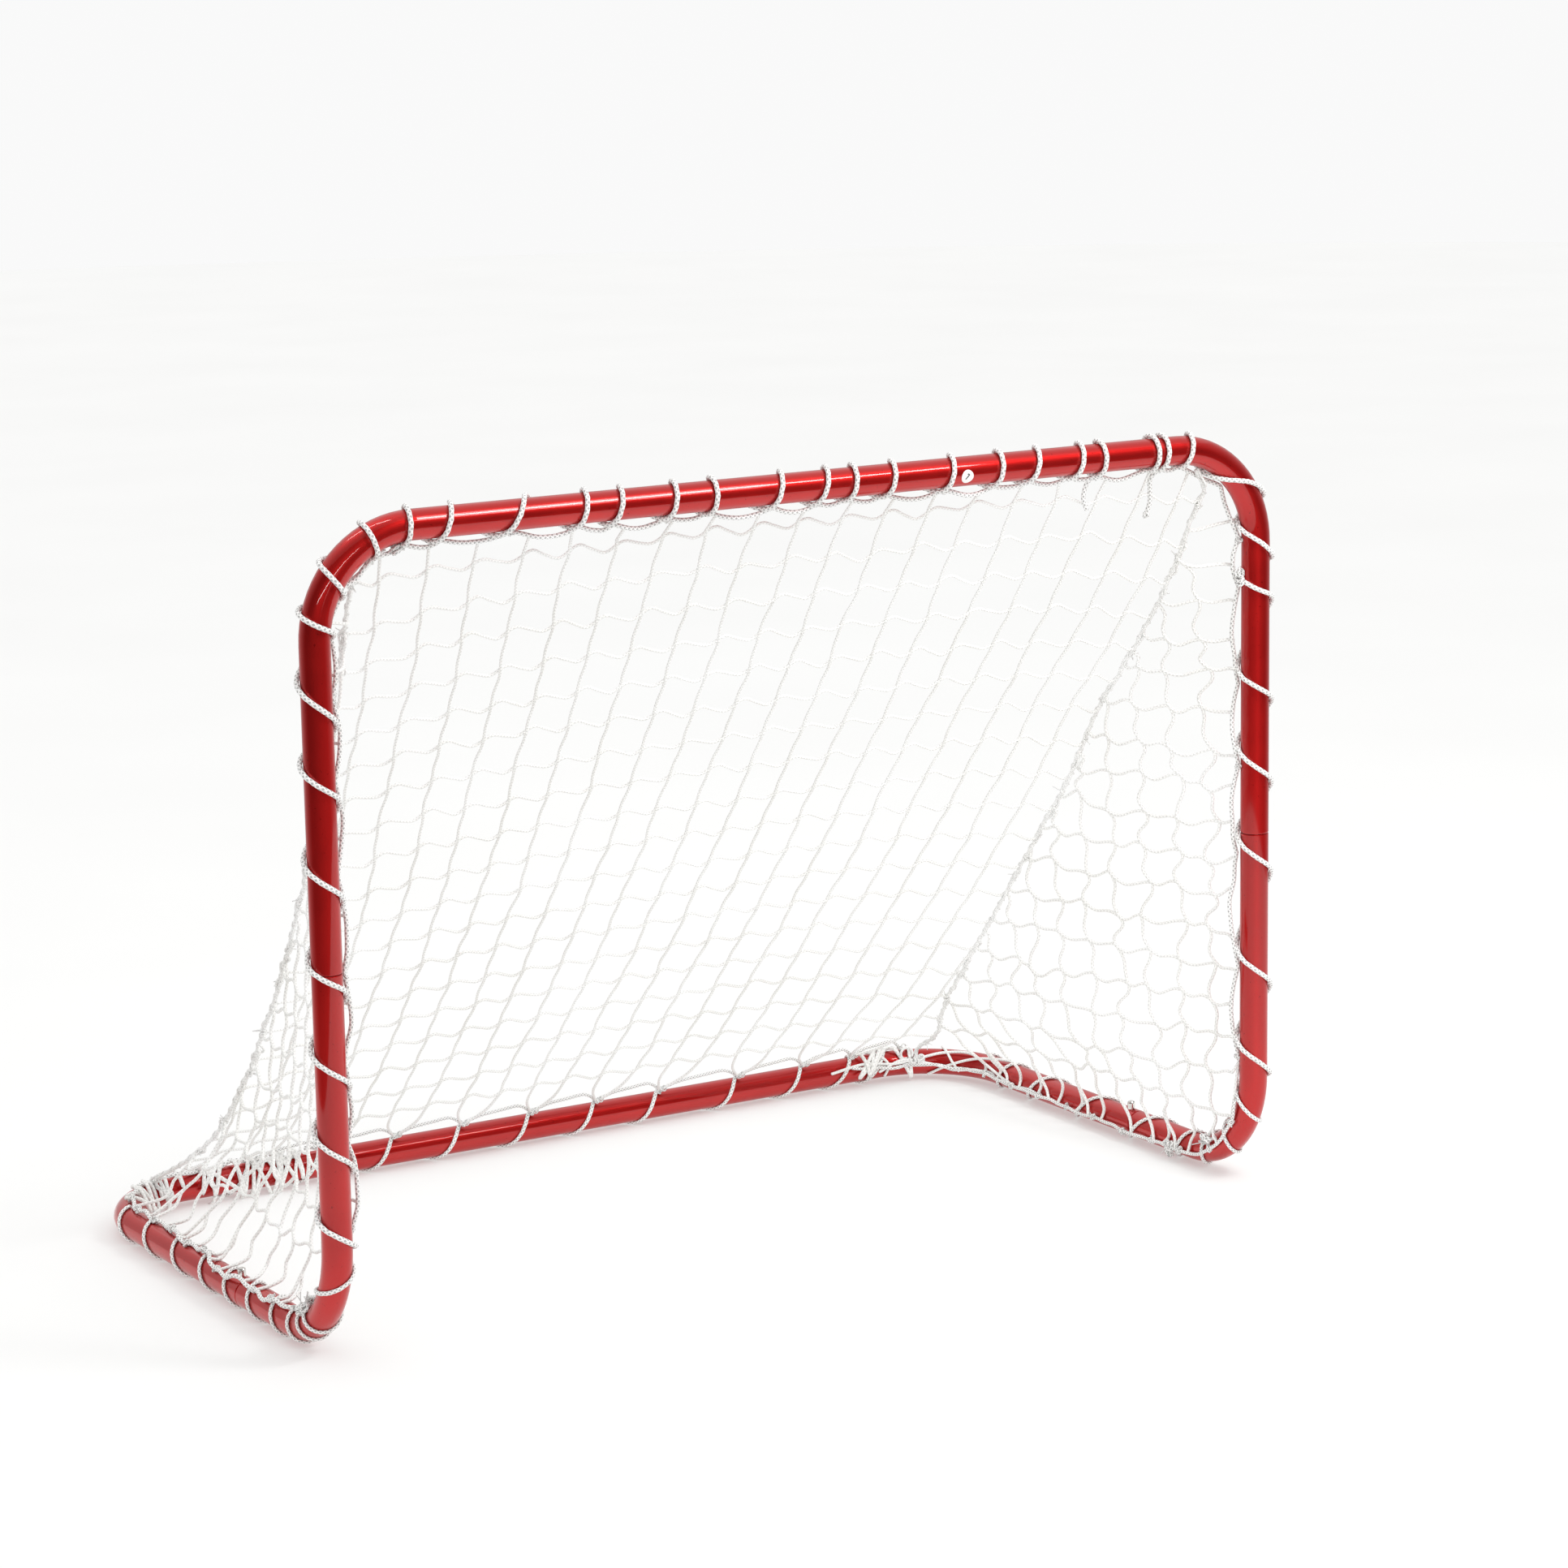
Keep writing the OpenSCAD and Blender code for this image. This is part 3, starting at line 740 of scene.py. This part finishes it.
def base_lacing(name, node, turn, s, mirrored):
    """A flattened cord round the base tubes through the given turns (degrees) and places (mm)."""
    turn, s = np.asarray(turn, float), np.asarray(s, float)
    n = int((turn[-1] - turn[0]) / 360 * 2 * math.pi * BASE_REACH / 1.4)
    t = np.linspace(turn[0], turn[-1], n)
    along = smooth_values(turn, s, t)
    reach = BASE_REACH - 0.55 * np.clip(-np.sin(np.radians(t)), 0, 1)
    flip = [-1 if mirrored else 1, 1, 1]
    route, middle = base_at(along, t, reach) * flip, base_at(along, t, 0.0) * flip
    strands = Strands()
    strands.add(route, BASE_CORD_R, sides=10, braid=CORD_RELIEF, flat=0.74, away=route - middle)
    obj = strands.piece(name, CORD)
    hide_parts(node)


def side_lacing(name, node, wraps, mirrored):
    """A base lacing with one turn at each wrap, and half a turn more at both ends."""
    turn = [-270] + [-90 + 360 * k for k in range(len(wraps))] + [360 * len(wraps) - 270]
    return base_lacing(name, node, turn, [12] + wraps + [wraps[-1] + 30], mirrored)


side_lacing("left_base_lacing_cord", "left_base_lacing", LEFT_WRAPS, False)
side_lacing("right_base_lacing_cord", "right_base_lacing", RIGHT_SIDE_WRAPS, True)


def rear_lacing():
    """From tie to tie along the top of the rear bar, down its front and up behind it."""
    lean = 37
    ties = [LEFT_TIE] + REAR_TIES + [480]
    turn, s = [], []
    for k, x in enumerate(ties[::-1]):
        turn += [360 * k + 95, 360 * k + 265]
        s += [REAR_MIDDLE - x, REAR_MIDDLE - x + lean]
    base_lacing("rear_base_lacing_cord", "rear_base_lacing", turn[:-1], s[:-1], True)


rear_lacing()


# ---------------------------------------------------------------- the net's edge cord
# Knots near the two upper corners of the mouth: place along the tube and size (mm)
CORNER_KNOTS = ((1944, 6.5), (1936, 5.0), (766, 6.0), (774, 4.5))


def mouth_border():
    """Touches the tube under each turn of lacing and hangs a little away between them."""
    wraps = np.array(LONG_WRAPS + RIGHT_WRAPS, float)
    s = np.arange(12, MOUTH_LEN - 12, 3.0)
    near = np.interp(s, wraps, np.arange(len(wraps)))
    gap = np.interp(near, np.arange(len(wraps) - 1) + 0.5, np.diff(wraps))
    loose = np.abs(np.sin(np.pi * near)) * np.clip(gap / 60, 0.2, 1.0)
    reach = TUBE_R + 2.6 + 7.5 * loose
    inside = np.interp(s, [0, 500, 620, 900, 1600, 1900, 2500],
        [-100, -100, -105, -98, -100, -122, -122])
    path = mouth_at(s, inside + 6 * np.sin(s / 37), reach)
    path += wobble(len(s), 1.0, 8, 21)
    strands = Strands()
    strands.cord(path, BORDER_R)
    for k, w in enumerate(wraps):
        if k % 3 == 0:
            i = np.argmin(abs(s - w))
            knot(strands, path[i], 4.2, 1.8, 100 + k)
    tuft(strands, path[np.argmin(abs(s - 640))], 12, 9, 31)
    # two loose ends hang from the last turns on the crossbar
    under = mouth_at(np.array([LONG_WRAPS[-1]]), np.array([-100.0]), np.array([WRAP_REACH + 1]))[0]
    end = under + [[0, 0, 0], [-7, 4, -10], [-3, 10, -24], [1, 16, -38], [0, 22, -52]]
    strands.cord(smooth_path(end, 2.0), BORDER_R)
    knot(strands, under + [0, 22, -52], 4.0, 1.6, 52)
    under = mouth_at(np.array([LONG_WRAPS[-3]]), np.array([-100.0]), np.array([WRAP_REACH + 1]))[0]
    end = under + [[0, 0, 0], [-8, 4, -8], [-10, 8, -24], [-3, 12, -38]]
    strands.cord(smooth_path(end, 2.0), 2.3)
    knot(strands, under, 4.5, 1.6, 53, 2.0)
    for k, (place, size) in enumerate(CORNER_KNOTS):
        centre = mouth_at(np.array([float(place)]), np.array([-92.0]), np.array([TUBE_R + 5.5]))[0]
        knot(strands, centre, size, 2.0, 54 + k, 2.1)
    obj = strands.piece("mouth_edge_cord", CORD)
    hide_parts("mouth_border_cord")
    return path


def base_border():
    """Along the top of the left tube, along the rear bar, and inside the right tube."""
    s = np.arange(30, BASE_LEN - 30, 3.0)
    rear = REAR_MIDDLE
    angle = np.interp(s, [0, 60, 120, 230, 330, 420, 560, 700, rear, rear + 250, rear + 480,
        BASE_LEN - 250, BASE_LEN - 90, BASE_LEN],
        [150, 104, 74, 54, 54, 84, 96, 108, 112, 112, 178, 196, 186, 160])
    loose = np.where(s < rear, 1.0, 0.35)
    angle = angle + loose * (7 * np.sin(s / 19.0) + 5 * np.sin(s / 7.3))
    reach = 20.5 + loose * (2.2 * np.sin(s / 14.2) + 1.2 * np.sin(s / 5.1))
    path = base_at(s, angle, np.maximum(reach, TUBE_R + 2.6))
    return s, path


MOUTH_EDGE = mouth_border()
BASE_S, BASE_EDGE = base_border()


# ---------------------------------------------------------------- the back panel
ROWS = 20
FIRST_ROW = 0.0168
ROW_PITCH = 0.0517
COLUMNS = 11
TOP_PITCH, MID_PITCH, LOW_PITCH = 55.0, 49.5, 46.0
BACK_TOP = np.array([16.0, BAR_Z - 28])
BACK_LOW = np.array([DEPTH - 26, BASE_Z + 30])
BACK_SAG = 28.0
BACK_LEN = 985.0
COLUMN_SAMPLES = 282
seam_fine = smooth_path(SEAM_ROUTE, 4.0)
seam_len = np.concatenate([[0], np.cumsum(np.linalg.norm(np.diff(seam_fine, axis=0), axis=1))])
seam_len /= seam_len[-1]


def seam_at(v):
    """The right-hand seam at a share v of the way down."""
    return np.stack([np.interp(v, seam_len, seam_fine[:, k]) for k in range(3)], -1)


def seam_side(v, side):
    """The seam on either side; the left one is drawn closer to its post near the top."""
    v = np.asarray(v, float)
    out = seam_at(v)
    out[..., 0] += 16 * np.clip(1 - v / 0.45, 0, 1) * (np.asarray(side) < 0)
    return out * np.stack([np.broadcast_to(side, v.shape), np.ones(v.shape), np.ones(v.shape)], -1)


def back_point(x, v):
    """The back panel at x, a share v of the way down, sagging more towards its seams."""
    v = np.clip(v, 0, 1)
    side = np.where(x < 0, -1.0, 1.0)
    edge = np.clip((np.abs(x) - (np.abs(seam_side(v, side)[..., 0]) - 150)) / 150, 0, 1)
    v = np.clip(v + 0.018 * edge ** 1.5 * np.clip(v / 0.06, 0, 1) * np.clip(1.15 - v, 0, 1), 0, 1)
    line = BACK_TOP + (BACK_LOW - BACK_TOP) * v[..., None]
    inward = np.array([-(BACK_LOW - BACK_TOP)[1], (BACK_LOW - BACK_TOP)[0]])
    inward = inward / np.linalg.norm(inward)
    line = line - inward * (4 * v * (1 - v) * BACK_SAG)[..., None]
    seam = seam_side(v, side)
    w = np.clip(np.abs(x) / np.abs(seam[..., 0]), 0, 1.2) ** 2.6
    y = line[..., 0] + (seam[..., 1] - line[..., 0]) * w
    z = line[..., 1] + (seam[..., 2] - line[..., 1]) * w
    return np.stack([x, y, z], -1)


def column_x(i, v):
    """Place of column i a share v of the way down."""
    pitch = np.interp(v, [0, 0.5, 1], [TOP_PITCH, MID_PITCH, LOW_PITCH])
    return -6 + 4 * v + i * pitch


def back_net():
    """Columns from the crossbar to the ties on the rear bar, and rows from seam to seam."""
    strands = Strands()
    index = np.arange(-COLUMNS, COLUMNS + 1)
    v_rows = np.concatenate([[0], FIRST_ROW + ROW_PITCH * np.arange(ROWS)])
    jx = rng.normal(0, 1.6, (len(index), ROWS + 1))
    jv = rng.normal(0, 0.0016, (len(index), ROWS + 1))
    jv[:, 0] = 0
    node_x = np.array([[column_x(i, v) for v in v_rows] for i in index]) + jx
    node_v = v_rows[None] + jv
    last = ROWS - 1
    for a, i in enumerate(index):
        v = np.linspace(0, node_v[a, last], COLUMN_SAMPLES)
        x = np.interp(v, node_v[a], node_x[a])
        inside = np.abs(x) < np.abs(seam_side(v, np.where(x < 0, -1.0, 1.0))[:, 0]) - 1
        if inside.sum() < 12:
            continue
        path = back_point(x, v)[inside]
        cell = (v[inside] - FIRST_ROW) / ROW_PITCH
        path[:, 0] += 0.9 * np.sin(2 * np.pi * cell + 0.6)
        thick = TWINE_R * (1 + 0.35 * np.exp(-((cell - np.round(cell)) * 16) ** 2))
        path += wobble(len(path), 0.5, 14, 500 + a)
        if inside[0]:
            k = np.argmin(np.linalg.norm(MOUTH_EDGE - path[0], axis=1))
            path[:4] += (MOUTH_EDGE[k] - path[0]) * np.linspace(1, 0, 4, endpoint=False)[:, None]
        if inside[-1]:
            tie = min(REAR_TIES + [RIGHT_TIE, LEFT_TIE], key=lambda t: abs(t - x[-1]))
            right = x[-1] > tie
            foot = np.array([tie + (3 if right else -2), TIE_Y, TIE_Z + 0.5])
            mid = (path[-1] + foot) / 2 + np.array([5 if right else -7, 0, -2])
            path = np.vstack([path[:-1], smooth_path([path[-1], mid, foot], 3)])
            thick = np.concatenate([thick, np.full(len(path) - len(thick), TWINE_R)])
        strands.add(path, thick[:len(path)], sides=6)
    for j in range(1, ROWS):
        left, right = seam_side(v_rows[j], -1.0)[0], seam_side(v_rows[j], 1.0)[0]
        keep = [a for a in range(len(index)) if left + 6 < node_x[a, j] < right - 6]
        xs = np.concatenate([[left], node_x[keep, j], [right]])
        vs = np.concatenate([[v_rows[j]], node_v[keep, j], [v_rows[j]]])
        path = []
        for a in range(len(xs) - 1):
            t = np.linspace(0, 1, 15, endpoint=False)
            span = (xs[a + 1] - xs[a]) / 50
            wave = np.sin(2 * np.pi * t) + 0.2 * np.sin(4 * np.pi * t)
            lift = span * (rng.uniform(3.8, 6.2) * wave - rng.uniform(0.0, 2.5) * np.sin(np.pi * t))
            x = xs[a] + (xs[a + 1] - xs[a]) * t
            v = vs[a] + (vs[a + 1] - vs[a]) * t - lift / BACK_LEN
            path.append(back_point(x, v))
        path = np.vstack(path + [back_point(xs[-1:], vs[-1:])])
        strands.add(path, TWINE_R, sides=6)
    obj = strands.piece("back_panel_net", TWINE)
    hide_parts("back_net")


back_net()


def rear_edge(strands):
    """The panel's last twine, in scallops from tie to tie, with a small knot at each tie."""
    height = [(0, 0), (0.1, 4.5), (0.26, 8.5), (0.5, 10.5), (0.75, 12.5), (0.85, 9.5), (0.94, 4), (1, 0)]
    share, rise = np.array(height, float).T
    ties = REAR_TIES + [RIGHT_TIE]
    for a, b in zip(ties, ties[1:]):
        t = np.linspace(0, 1, int((b - a) / 2.6))
        h = smooth_values(share, rise, t)
        x = a + (b - a) * t
        strands.add(np.stack([x, TIE_Y - 0.45 * h, TIE_Z + h], -1), 1.9, sides=6, braid=0.05)
    for k, x in enumerate(ties):
        centre = np.array([x, TIE_Y, TIE_Z])
        knot(strands, centre, 3.6, 2.0, 300 + k)
        loop = np.linspace(0, 2 * math.pi, 12)[:, None]
        strands.add(centre + [4, -3, 2] + 3.0 * (np.cos(loop) * [1, 0, 0.2] + np.sin(loop) * [0, 0.5, 1]),
            0.8, sides=5)


# The knotted ends of the side lacings: place (mm), turn (degrees), size (mm) and count
LACING_ENDS = ((108, 48, 5.5, 3), (BASE_LEN - 196, 196, 5.5, 3), (BASE_LEN - 118, 160, 4.5, 2))


def base_edge_cord():
    """The cord in the net's edge along the base, with its knots and frayed ends."""
    strands = Strands()
    rear_edge(strands)
    strands.cord(BASE_EDGE[BASE_S < REAR_MIDDLE - 300], BORDER_R)
    strands.cord(BASE_EDGE[BASE_S > REAR_MIDDLE + 420], 2.0)
    corner = BASE_EDGE[(BASE_S > REAR_MIDDLE + 440) & (BASE_S < REAR_MIDDLE + 760)]
    strands.add(corner + wobble(len(corner), 1.8, 6, 27) + [0, -0.6, 1.4], 1.7, sides=6)
    for k, place in enumerate(np.arange(60, 640, 47.0)):
        if abs(place - 280) < 30:
            continue
        i = np.argmin(abs(BASE_S - place))
        knot(strands, BASE_EDGE[i], 4.0, 1.7, 400 + k)
        if abs(place - 300) > 60:
            tuft(strands, BASE_EDGE[i], 6, 3, 430 + k, 0.8)
    for k, place in enumerate(np.arange(60, 640, 58.0)):
        i = np.argmin(abs(BASE_S - (BASE_LEN - place)))
        knot(strands, BASE_EDGE[i], 4.0, 1.7, 460 + k)
        tuft(strands, BASE_EDGE[i], 5, 3, 490 + k, 0.8)
    for place, degrees, size, count in LACING_ENDS:
        middle = base_at(np.array([float(place)]), np.array([float(degrees)]), np.array([21.5]))[0]
        for k in range(count):
            knot(strands, middle + rng.normal(0, 2.5, 3), size, 1.8, int(place) + k, 2.1)
        tuft(strands, middle, 12, 12, int(place))
    # a loose end hangs from the first knots on the right tube
    hang = base_at(np.array([BASE_LEN - 196.0] * 3), np.array([190.0, 205, 222]), np.array([22.0, 23, 22]))
    strands.cord(smooth_path(hang, 2.0), 2.2)
    # a knot behind the lower bend of each post
    for side in (-1, 1):
        knot(strands, np.array([side * HALF_W, 20.0, 118.0]), 4.5, 1.8, 71 + side, 2.0)
    obj = strands.piece("base_edge_cord", CORD)
    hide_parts("base_border_cord")


base_edge_cord()


# ---------------------------------------------------------------- the side panels
EDGE_X = 560.0
POST_EDGE_Y = 20.0
SIDE_COLUMNS, SIDE_COLUMN_PITCH = 13, 44.0
SIDE_ROWS, SIDE_ROW_PITCH, LOWEST_ROW_Z = 18, 42.0, 46
BUTTON_Y = (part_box("left_snap_button")[0][1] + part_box("left_snap_button")[1][1]) / 2 / MM - MOUTH_Y


def side_point(y, z, side):
    """A side panel over a point of the goal's side view."""
    v = np.interp(-z, -seam_fine[:, 2], seam_len)
    seam = seam_side(v, side)
    q = np.clip((y - POST_EDGE_Y) / np.maximum(seam[..., 1] - POST_EDGE_Y, 1), 0, 1)
    low = np.clip((z - 44) / 90, 0, 1) ** 0.7
    share = q ** 1.15 * (low + (1 - low) * q ** 6)
    x = EDGE_X - (EDGE_X - np.abs(seam[..., 0])) * share - 12 * np.sin(np.pi * q) * low
    return np.stack([side * x, y, z], -1)


def edge_point(near, shift):
    """The point of the base's edge cord abreast of a point over the tube, shifted along it."""
    distance = np.linalg.norm(BASE_EDGE - (near + [0, shift, 0]), axis=1)
    return BASE_EDGE[np.argmin(distance)]


def bunch(strands, side, middle, spread, count, seed):
    """Slack net pulled together over the rear bar: twines that loop over its front and back up."""
    r = np.random.default_rng(seed)
    for _ in range(count):
        x = np.clip(r.normal(middle, spread), middle - 2 * spread, middle + 2 * spread)
        across, back = r.normal(0, 24, 2)
        deep = r.uniform(150, 238)
        angle = np.array([82, 118, deep - 22, deep, deep - 26, 116, 84], float)
        share = np.array([0, 0.3, 0.8, 1, 1, 1, 1.0])
        place = x + across * share + back * (1 - share[::-1])
        slack = r.uniform(0, 3.5) + np.array([0.2, 1.0, 2.6, 4.2, 2.6, 1.0, 0.2])
        path = base_at(REAR_MIDDLE + place, angle, TUBE_R + 2.4 + slack) * [-side, 1, 1]
        strands.add(smooth_path(path, 2.8), BORDER_R, sides=7)


def side_net(name, node, side, seed):
    """Loose square mesh, with strands that wander, tied to the seam, the post and the tube."""
    r = np.random.default_rng(seed)
    strands = Strands()
    ys = POST_EDGE_Y + SIDE_COLUMN_PITCH * (np.arange(SIDE_COLUMNS) + 0.55)
    zs = LOWEST_ROW_Z + SIDE_ROW_PITCH * np.arange(SIDE_ROWS)
    jy = r.normal(0, 4.5, (len(ys), len(zs)))
    jz = r.normal(0, 4.0, (len(ys), len(zs)))
    jy += 3.5 * (-1.0) ** (np.arange(len(ys))[:, None] + np.arange(len(zs))[None])
    jz[:, 0] = 0
    for a, y0 in enumerate(ys):
        top = np.interp(y0, seam_fine[:, 1], seam_fine[:, 2])
        count = [b for b in range(len(zs)) if zs[b] < top - 12]
        if not count:
            continue
        py = np.concatenate([(y0 + jy[a, count]), [y0]])
        pz = np.concatenate([(zs[count] + jz[a, count]), [top]])
        fine = []
        for b in range(len(py) - 1):
            t = np.linspace(0, 1, 13, endpoint=False)
            swing = r.uniform(2.0, 5.5) * np.sin(2 * np.pi * t) + r.uniform(-5, 5) * np.sin(np.pi * t)
            y = py[b] + (py[b + 1] - py[b]) * t + swing
            z = pz[b] + (pz[b + 1] - pz[b]) * t
            fine.append(np.stack([y, z], -1))
        fine = np.vstack(fine + [[[py[-1], pz[-1]]]])
        path = side_point(fine[:, 0], fine[:, 1], side)
        s = np.clip(BASE_LEN - (BEND_LEN + y0 - BEND_R), REAR_MIDDLE + 400, BASE_LEN - 70)
        over = base_at(np.array([s]), np.array([150.0 if side > 0 else 112.0]), np.array([20.6]))[0]
        over = over * [side, 1, 1]
        shift = r.choice([-1, 1]) * 9
        near_button = abs(y0 - BUTTON_Y) < 32
        if near_button:
            shift = math.copysign(9, y0 - BUTTON_Y)
        foot = [edge_point(over, shift), over + [0, shift * 0.5, 0], path[0], path[4]]
        strands.add(np.vstack([smooth_path(foot, 3.2)[:-1], path[4:]]), SIDE_TWINE_R, sides=6)
        if a % 2 == 0 and not near_button:
            foot = [edge_point(over, -shift * 1.6), over - [0, shift * 0.6, 0], path[5]]
            strands.add(smooth_path(foot, 3.2), SIDE_TWINE_R, sides=6)
    for b, z0 in enumerate(zs[1:], 1):
        depth = np.interp(-z0, -seam_fine[:, 2], seam_fine[:, 1])
        keep = [a for a in range(len(ys)) if ys[a] < depth - 12]
        py = np.concatenate([[POST_EDGE_Y - 6], ys[keep] + jy[keep, b], [depth]])
        pz = np.concatenate([[z0 + r.normal(0, 4)], z0 + jz[keep, b], [z0]])
        path = []
        for a in range(len(py) - 1):
            t = np.linspace(0, 1, 13, endpoint=False)
            span = abs(py[a + 1] - py[a]) / 46
            wave, sag = np.sin(2 * np.pi * t), np.sin(np.pi * t)
            lift = span * (r.uniform(1.0, 4.0) * wave - r.uniform(1, 8) * sag)
            y = py[a] + (py[a + 1] - py[a]) * t
            z = pz[a] + (pz[a + 1] - pz[a]) * t + lift
            path.append(side_point(y, z, side))
        path = np.vstack(path + [side_point(py[-1:], pz[-1:], side)])
        k = np.argmin(np.linalg.norm(MOUTH_EDGE - path[0], axis=1))
        strands.add(np.vstack([MOUTH_EDGE[k], path]), SIDE_TWINE_R, sides=6)
    if side < 0:
        bunch(strands, side, -395, 52, 11, 61)
        bunch(strands, side, -520, 34, 5, 62)
    else:
        bunch(strands, side, -505, 26, 4, 63)
    obj = strands.piece(name, TWINE)
    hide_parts(node)


side_net("right_side_panel_net", "right_side_net", 1, 11)
side_net("left_side_panel_net", "left_side_net", -1, 12)


# ---------------------------------------------------------------- seams
# each twine: place from the rear bar's middle (mm), turn round the tube (degrees), slack (mm)
FOOT_TWINES = [
    [(392, 166, 1), (440, 152, 3), (486, 168, 2), (524, 156, 4), (560, 132, 2), (600, 122, 2),
     (642, 150, 3), (694, 184, 2)],
    [(462, 190, 1), (500, 158, 3), (540, 172, 4), (584, 190, 2.5), (632, 176, 4), (690, 194, 1)],
    [(538, 226, 0.4), (572, 176, 2), (612, 142, 2), (652, 116, 2), (676, 94, 1)],
    [(452, 88, 1), (466, 130, 2), (477, 170, 1.5), (472, 216, 1)],
    [(484, 88, 1), (468, 130, 3.5), (452, 172, 2), (446, 218, 1)],
    [(556, 86, 1), (566, 128, 2), (578, 164, 4), (588, 196, 2)],
]


def foot_twines(strands, seed):
    """Loose twines at the right seam's foot: they cross on the rear bend, and one makes a loop."""
    for route in FOOT_TWINES:
        place, angle, slack = np.array(route, float).T
        path = base_at(REAR_MIDDLE + place, angle, TUBE_R + 2.2 + slack)
        strands.add(smooth_path(path, 2.6), 1.8, sides=6)
    turn = np.linspace(-0.6, 2 * math.pi - 1.2, 20)
    middle = base_at(np.array([REAR_MIDDLE + 508.0]), np.array([140.0]), np.array([24.0]))[0]
    loop = middle + 7.5 * np.stack([np.cos(turn), 0.15 * turn, np.sin(turn)], -1)
    strands.add(smooth_path(loop, 2.0), 1.7, sides=6)
    tuft(strands, middle + [9, -4, -9], 9, 5, seed + 7, 0.8)


def seam(name, node, side, seed):
    """Two net edges whipped together: a thick core, a zigzag stitch and small knots."""
    r = np.random.default_rng(seed)
    core = seam_side(np.linspace(0.01, 0.95, 48), np.full(48, float(side)))
    top = mouth_at(POST_LEN + BEND_LEN * 0.78, -100, TUBE_R + 3)
    if side > 0:
        top = top * [-1, 1, 1]
    foot = [[519 * side, 606, BASE_Z + 20.5], [512 * side, 599, BASE_Z + 8]]
    core = smooth_path(np.vstack([top, core, foot]), 3.0)
    n = len(core)
    core = core + wobble(n, 1.0, 9, seed)
    strands = Strands()
    strands.cord(core, 2.2)
    strands.add(core + wobble(n, 2.4, 5, seed + 1), 1.5, sides=6)
    turn = np.linspace(0, 2 * math.pi * 62, n)[:, None]
    strands.add(core + 2.9 * (np.cos(turn) * [1, 0, 0] + np.sin(turn) * [0, 0.8, 0.6]), 0.9, sides=5)
    for k in range(14):
        i = int((k + 0.5 + r.uniform(-0.2, 0.2)) / 14 * (n - 1))
        knot(strands, core[i], 3.8, 2.0, seed * 10 + k, 1.3)
        tuft(strands, core[i], 8, 3, seed * 20 + k)
    for k, offset in enumerate(([0, 0, 0], [-5, 1, -3], [4, -3, 1])):
        knot(strands, core[-1] + np.array(offset) * [side, 1, 1], 5.0, 1.8, seed + k, 1.6)
    if side > 0:
        foot_twines(strands, seed)
    obj = strands.piece(name, ROPE)
    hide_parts(node)


seam("right_seam_rope", "right_seam_cord", 1, 41)
seam("left_seam_rope", "left_seam_cord", -1, 42)
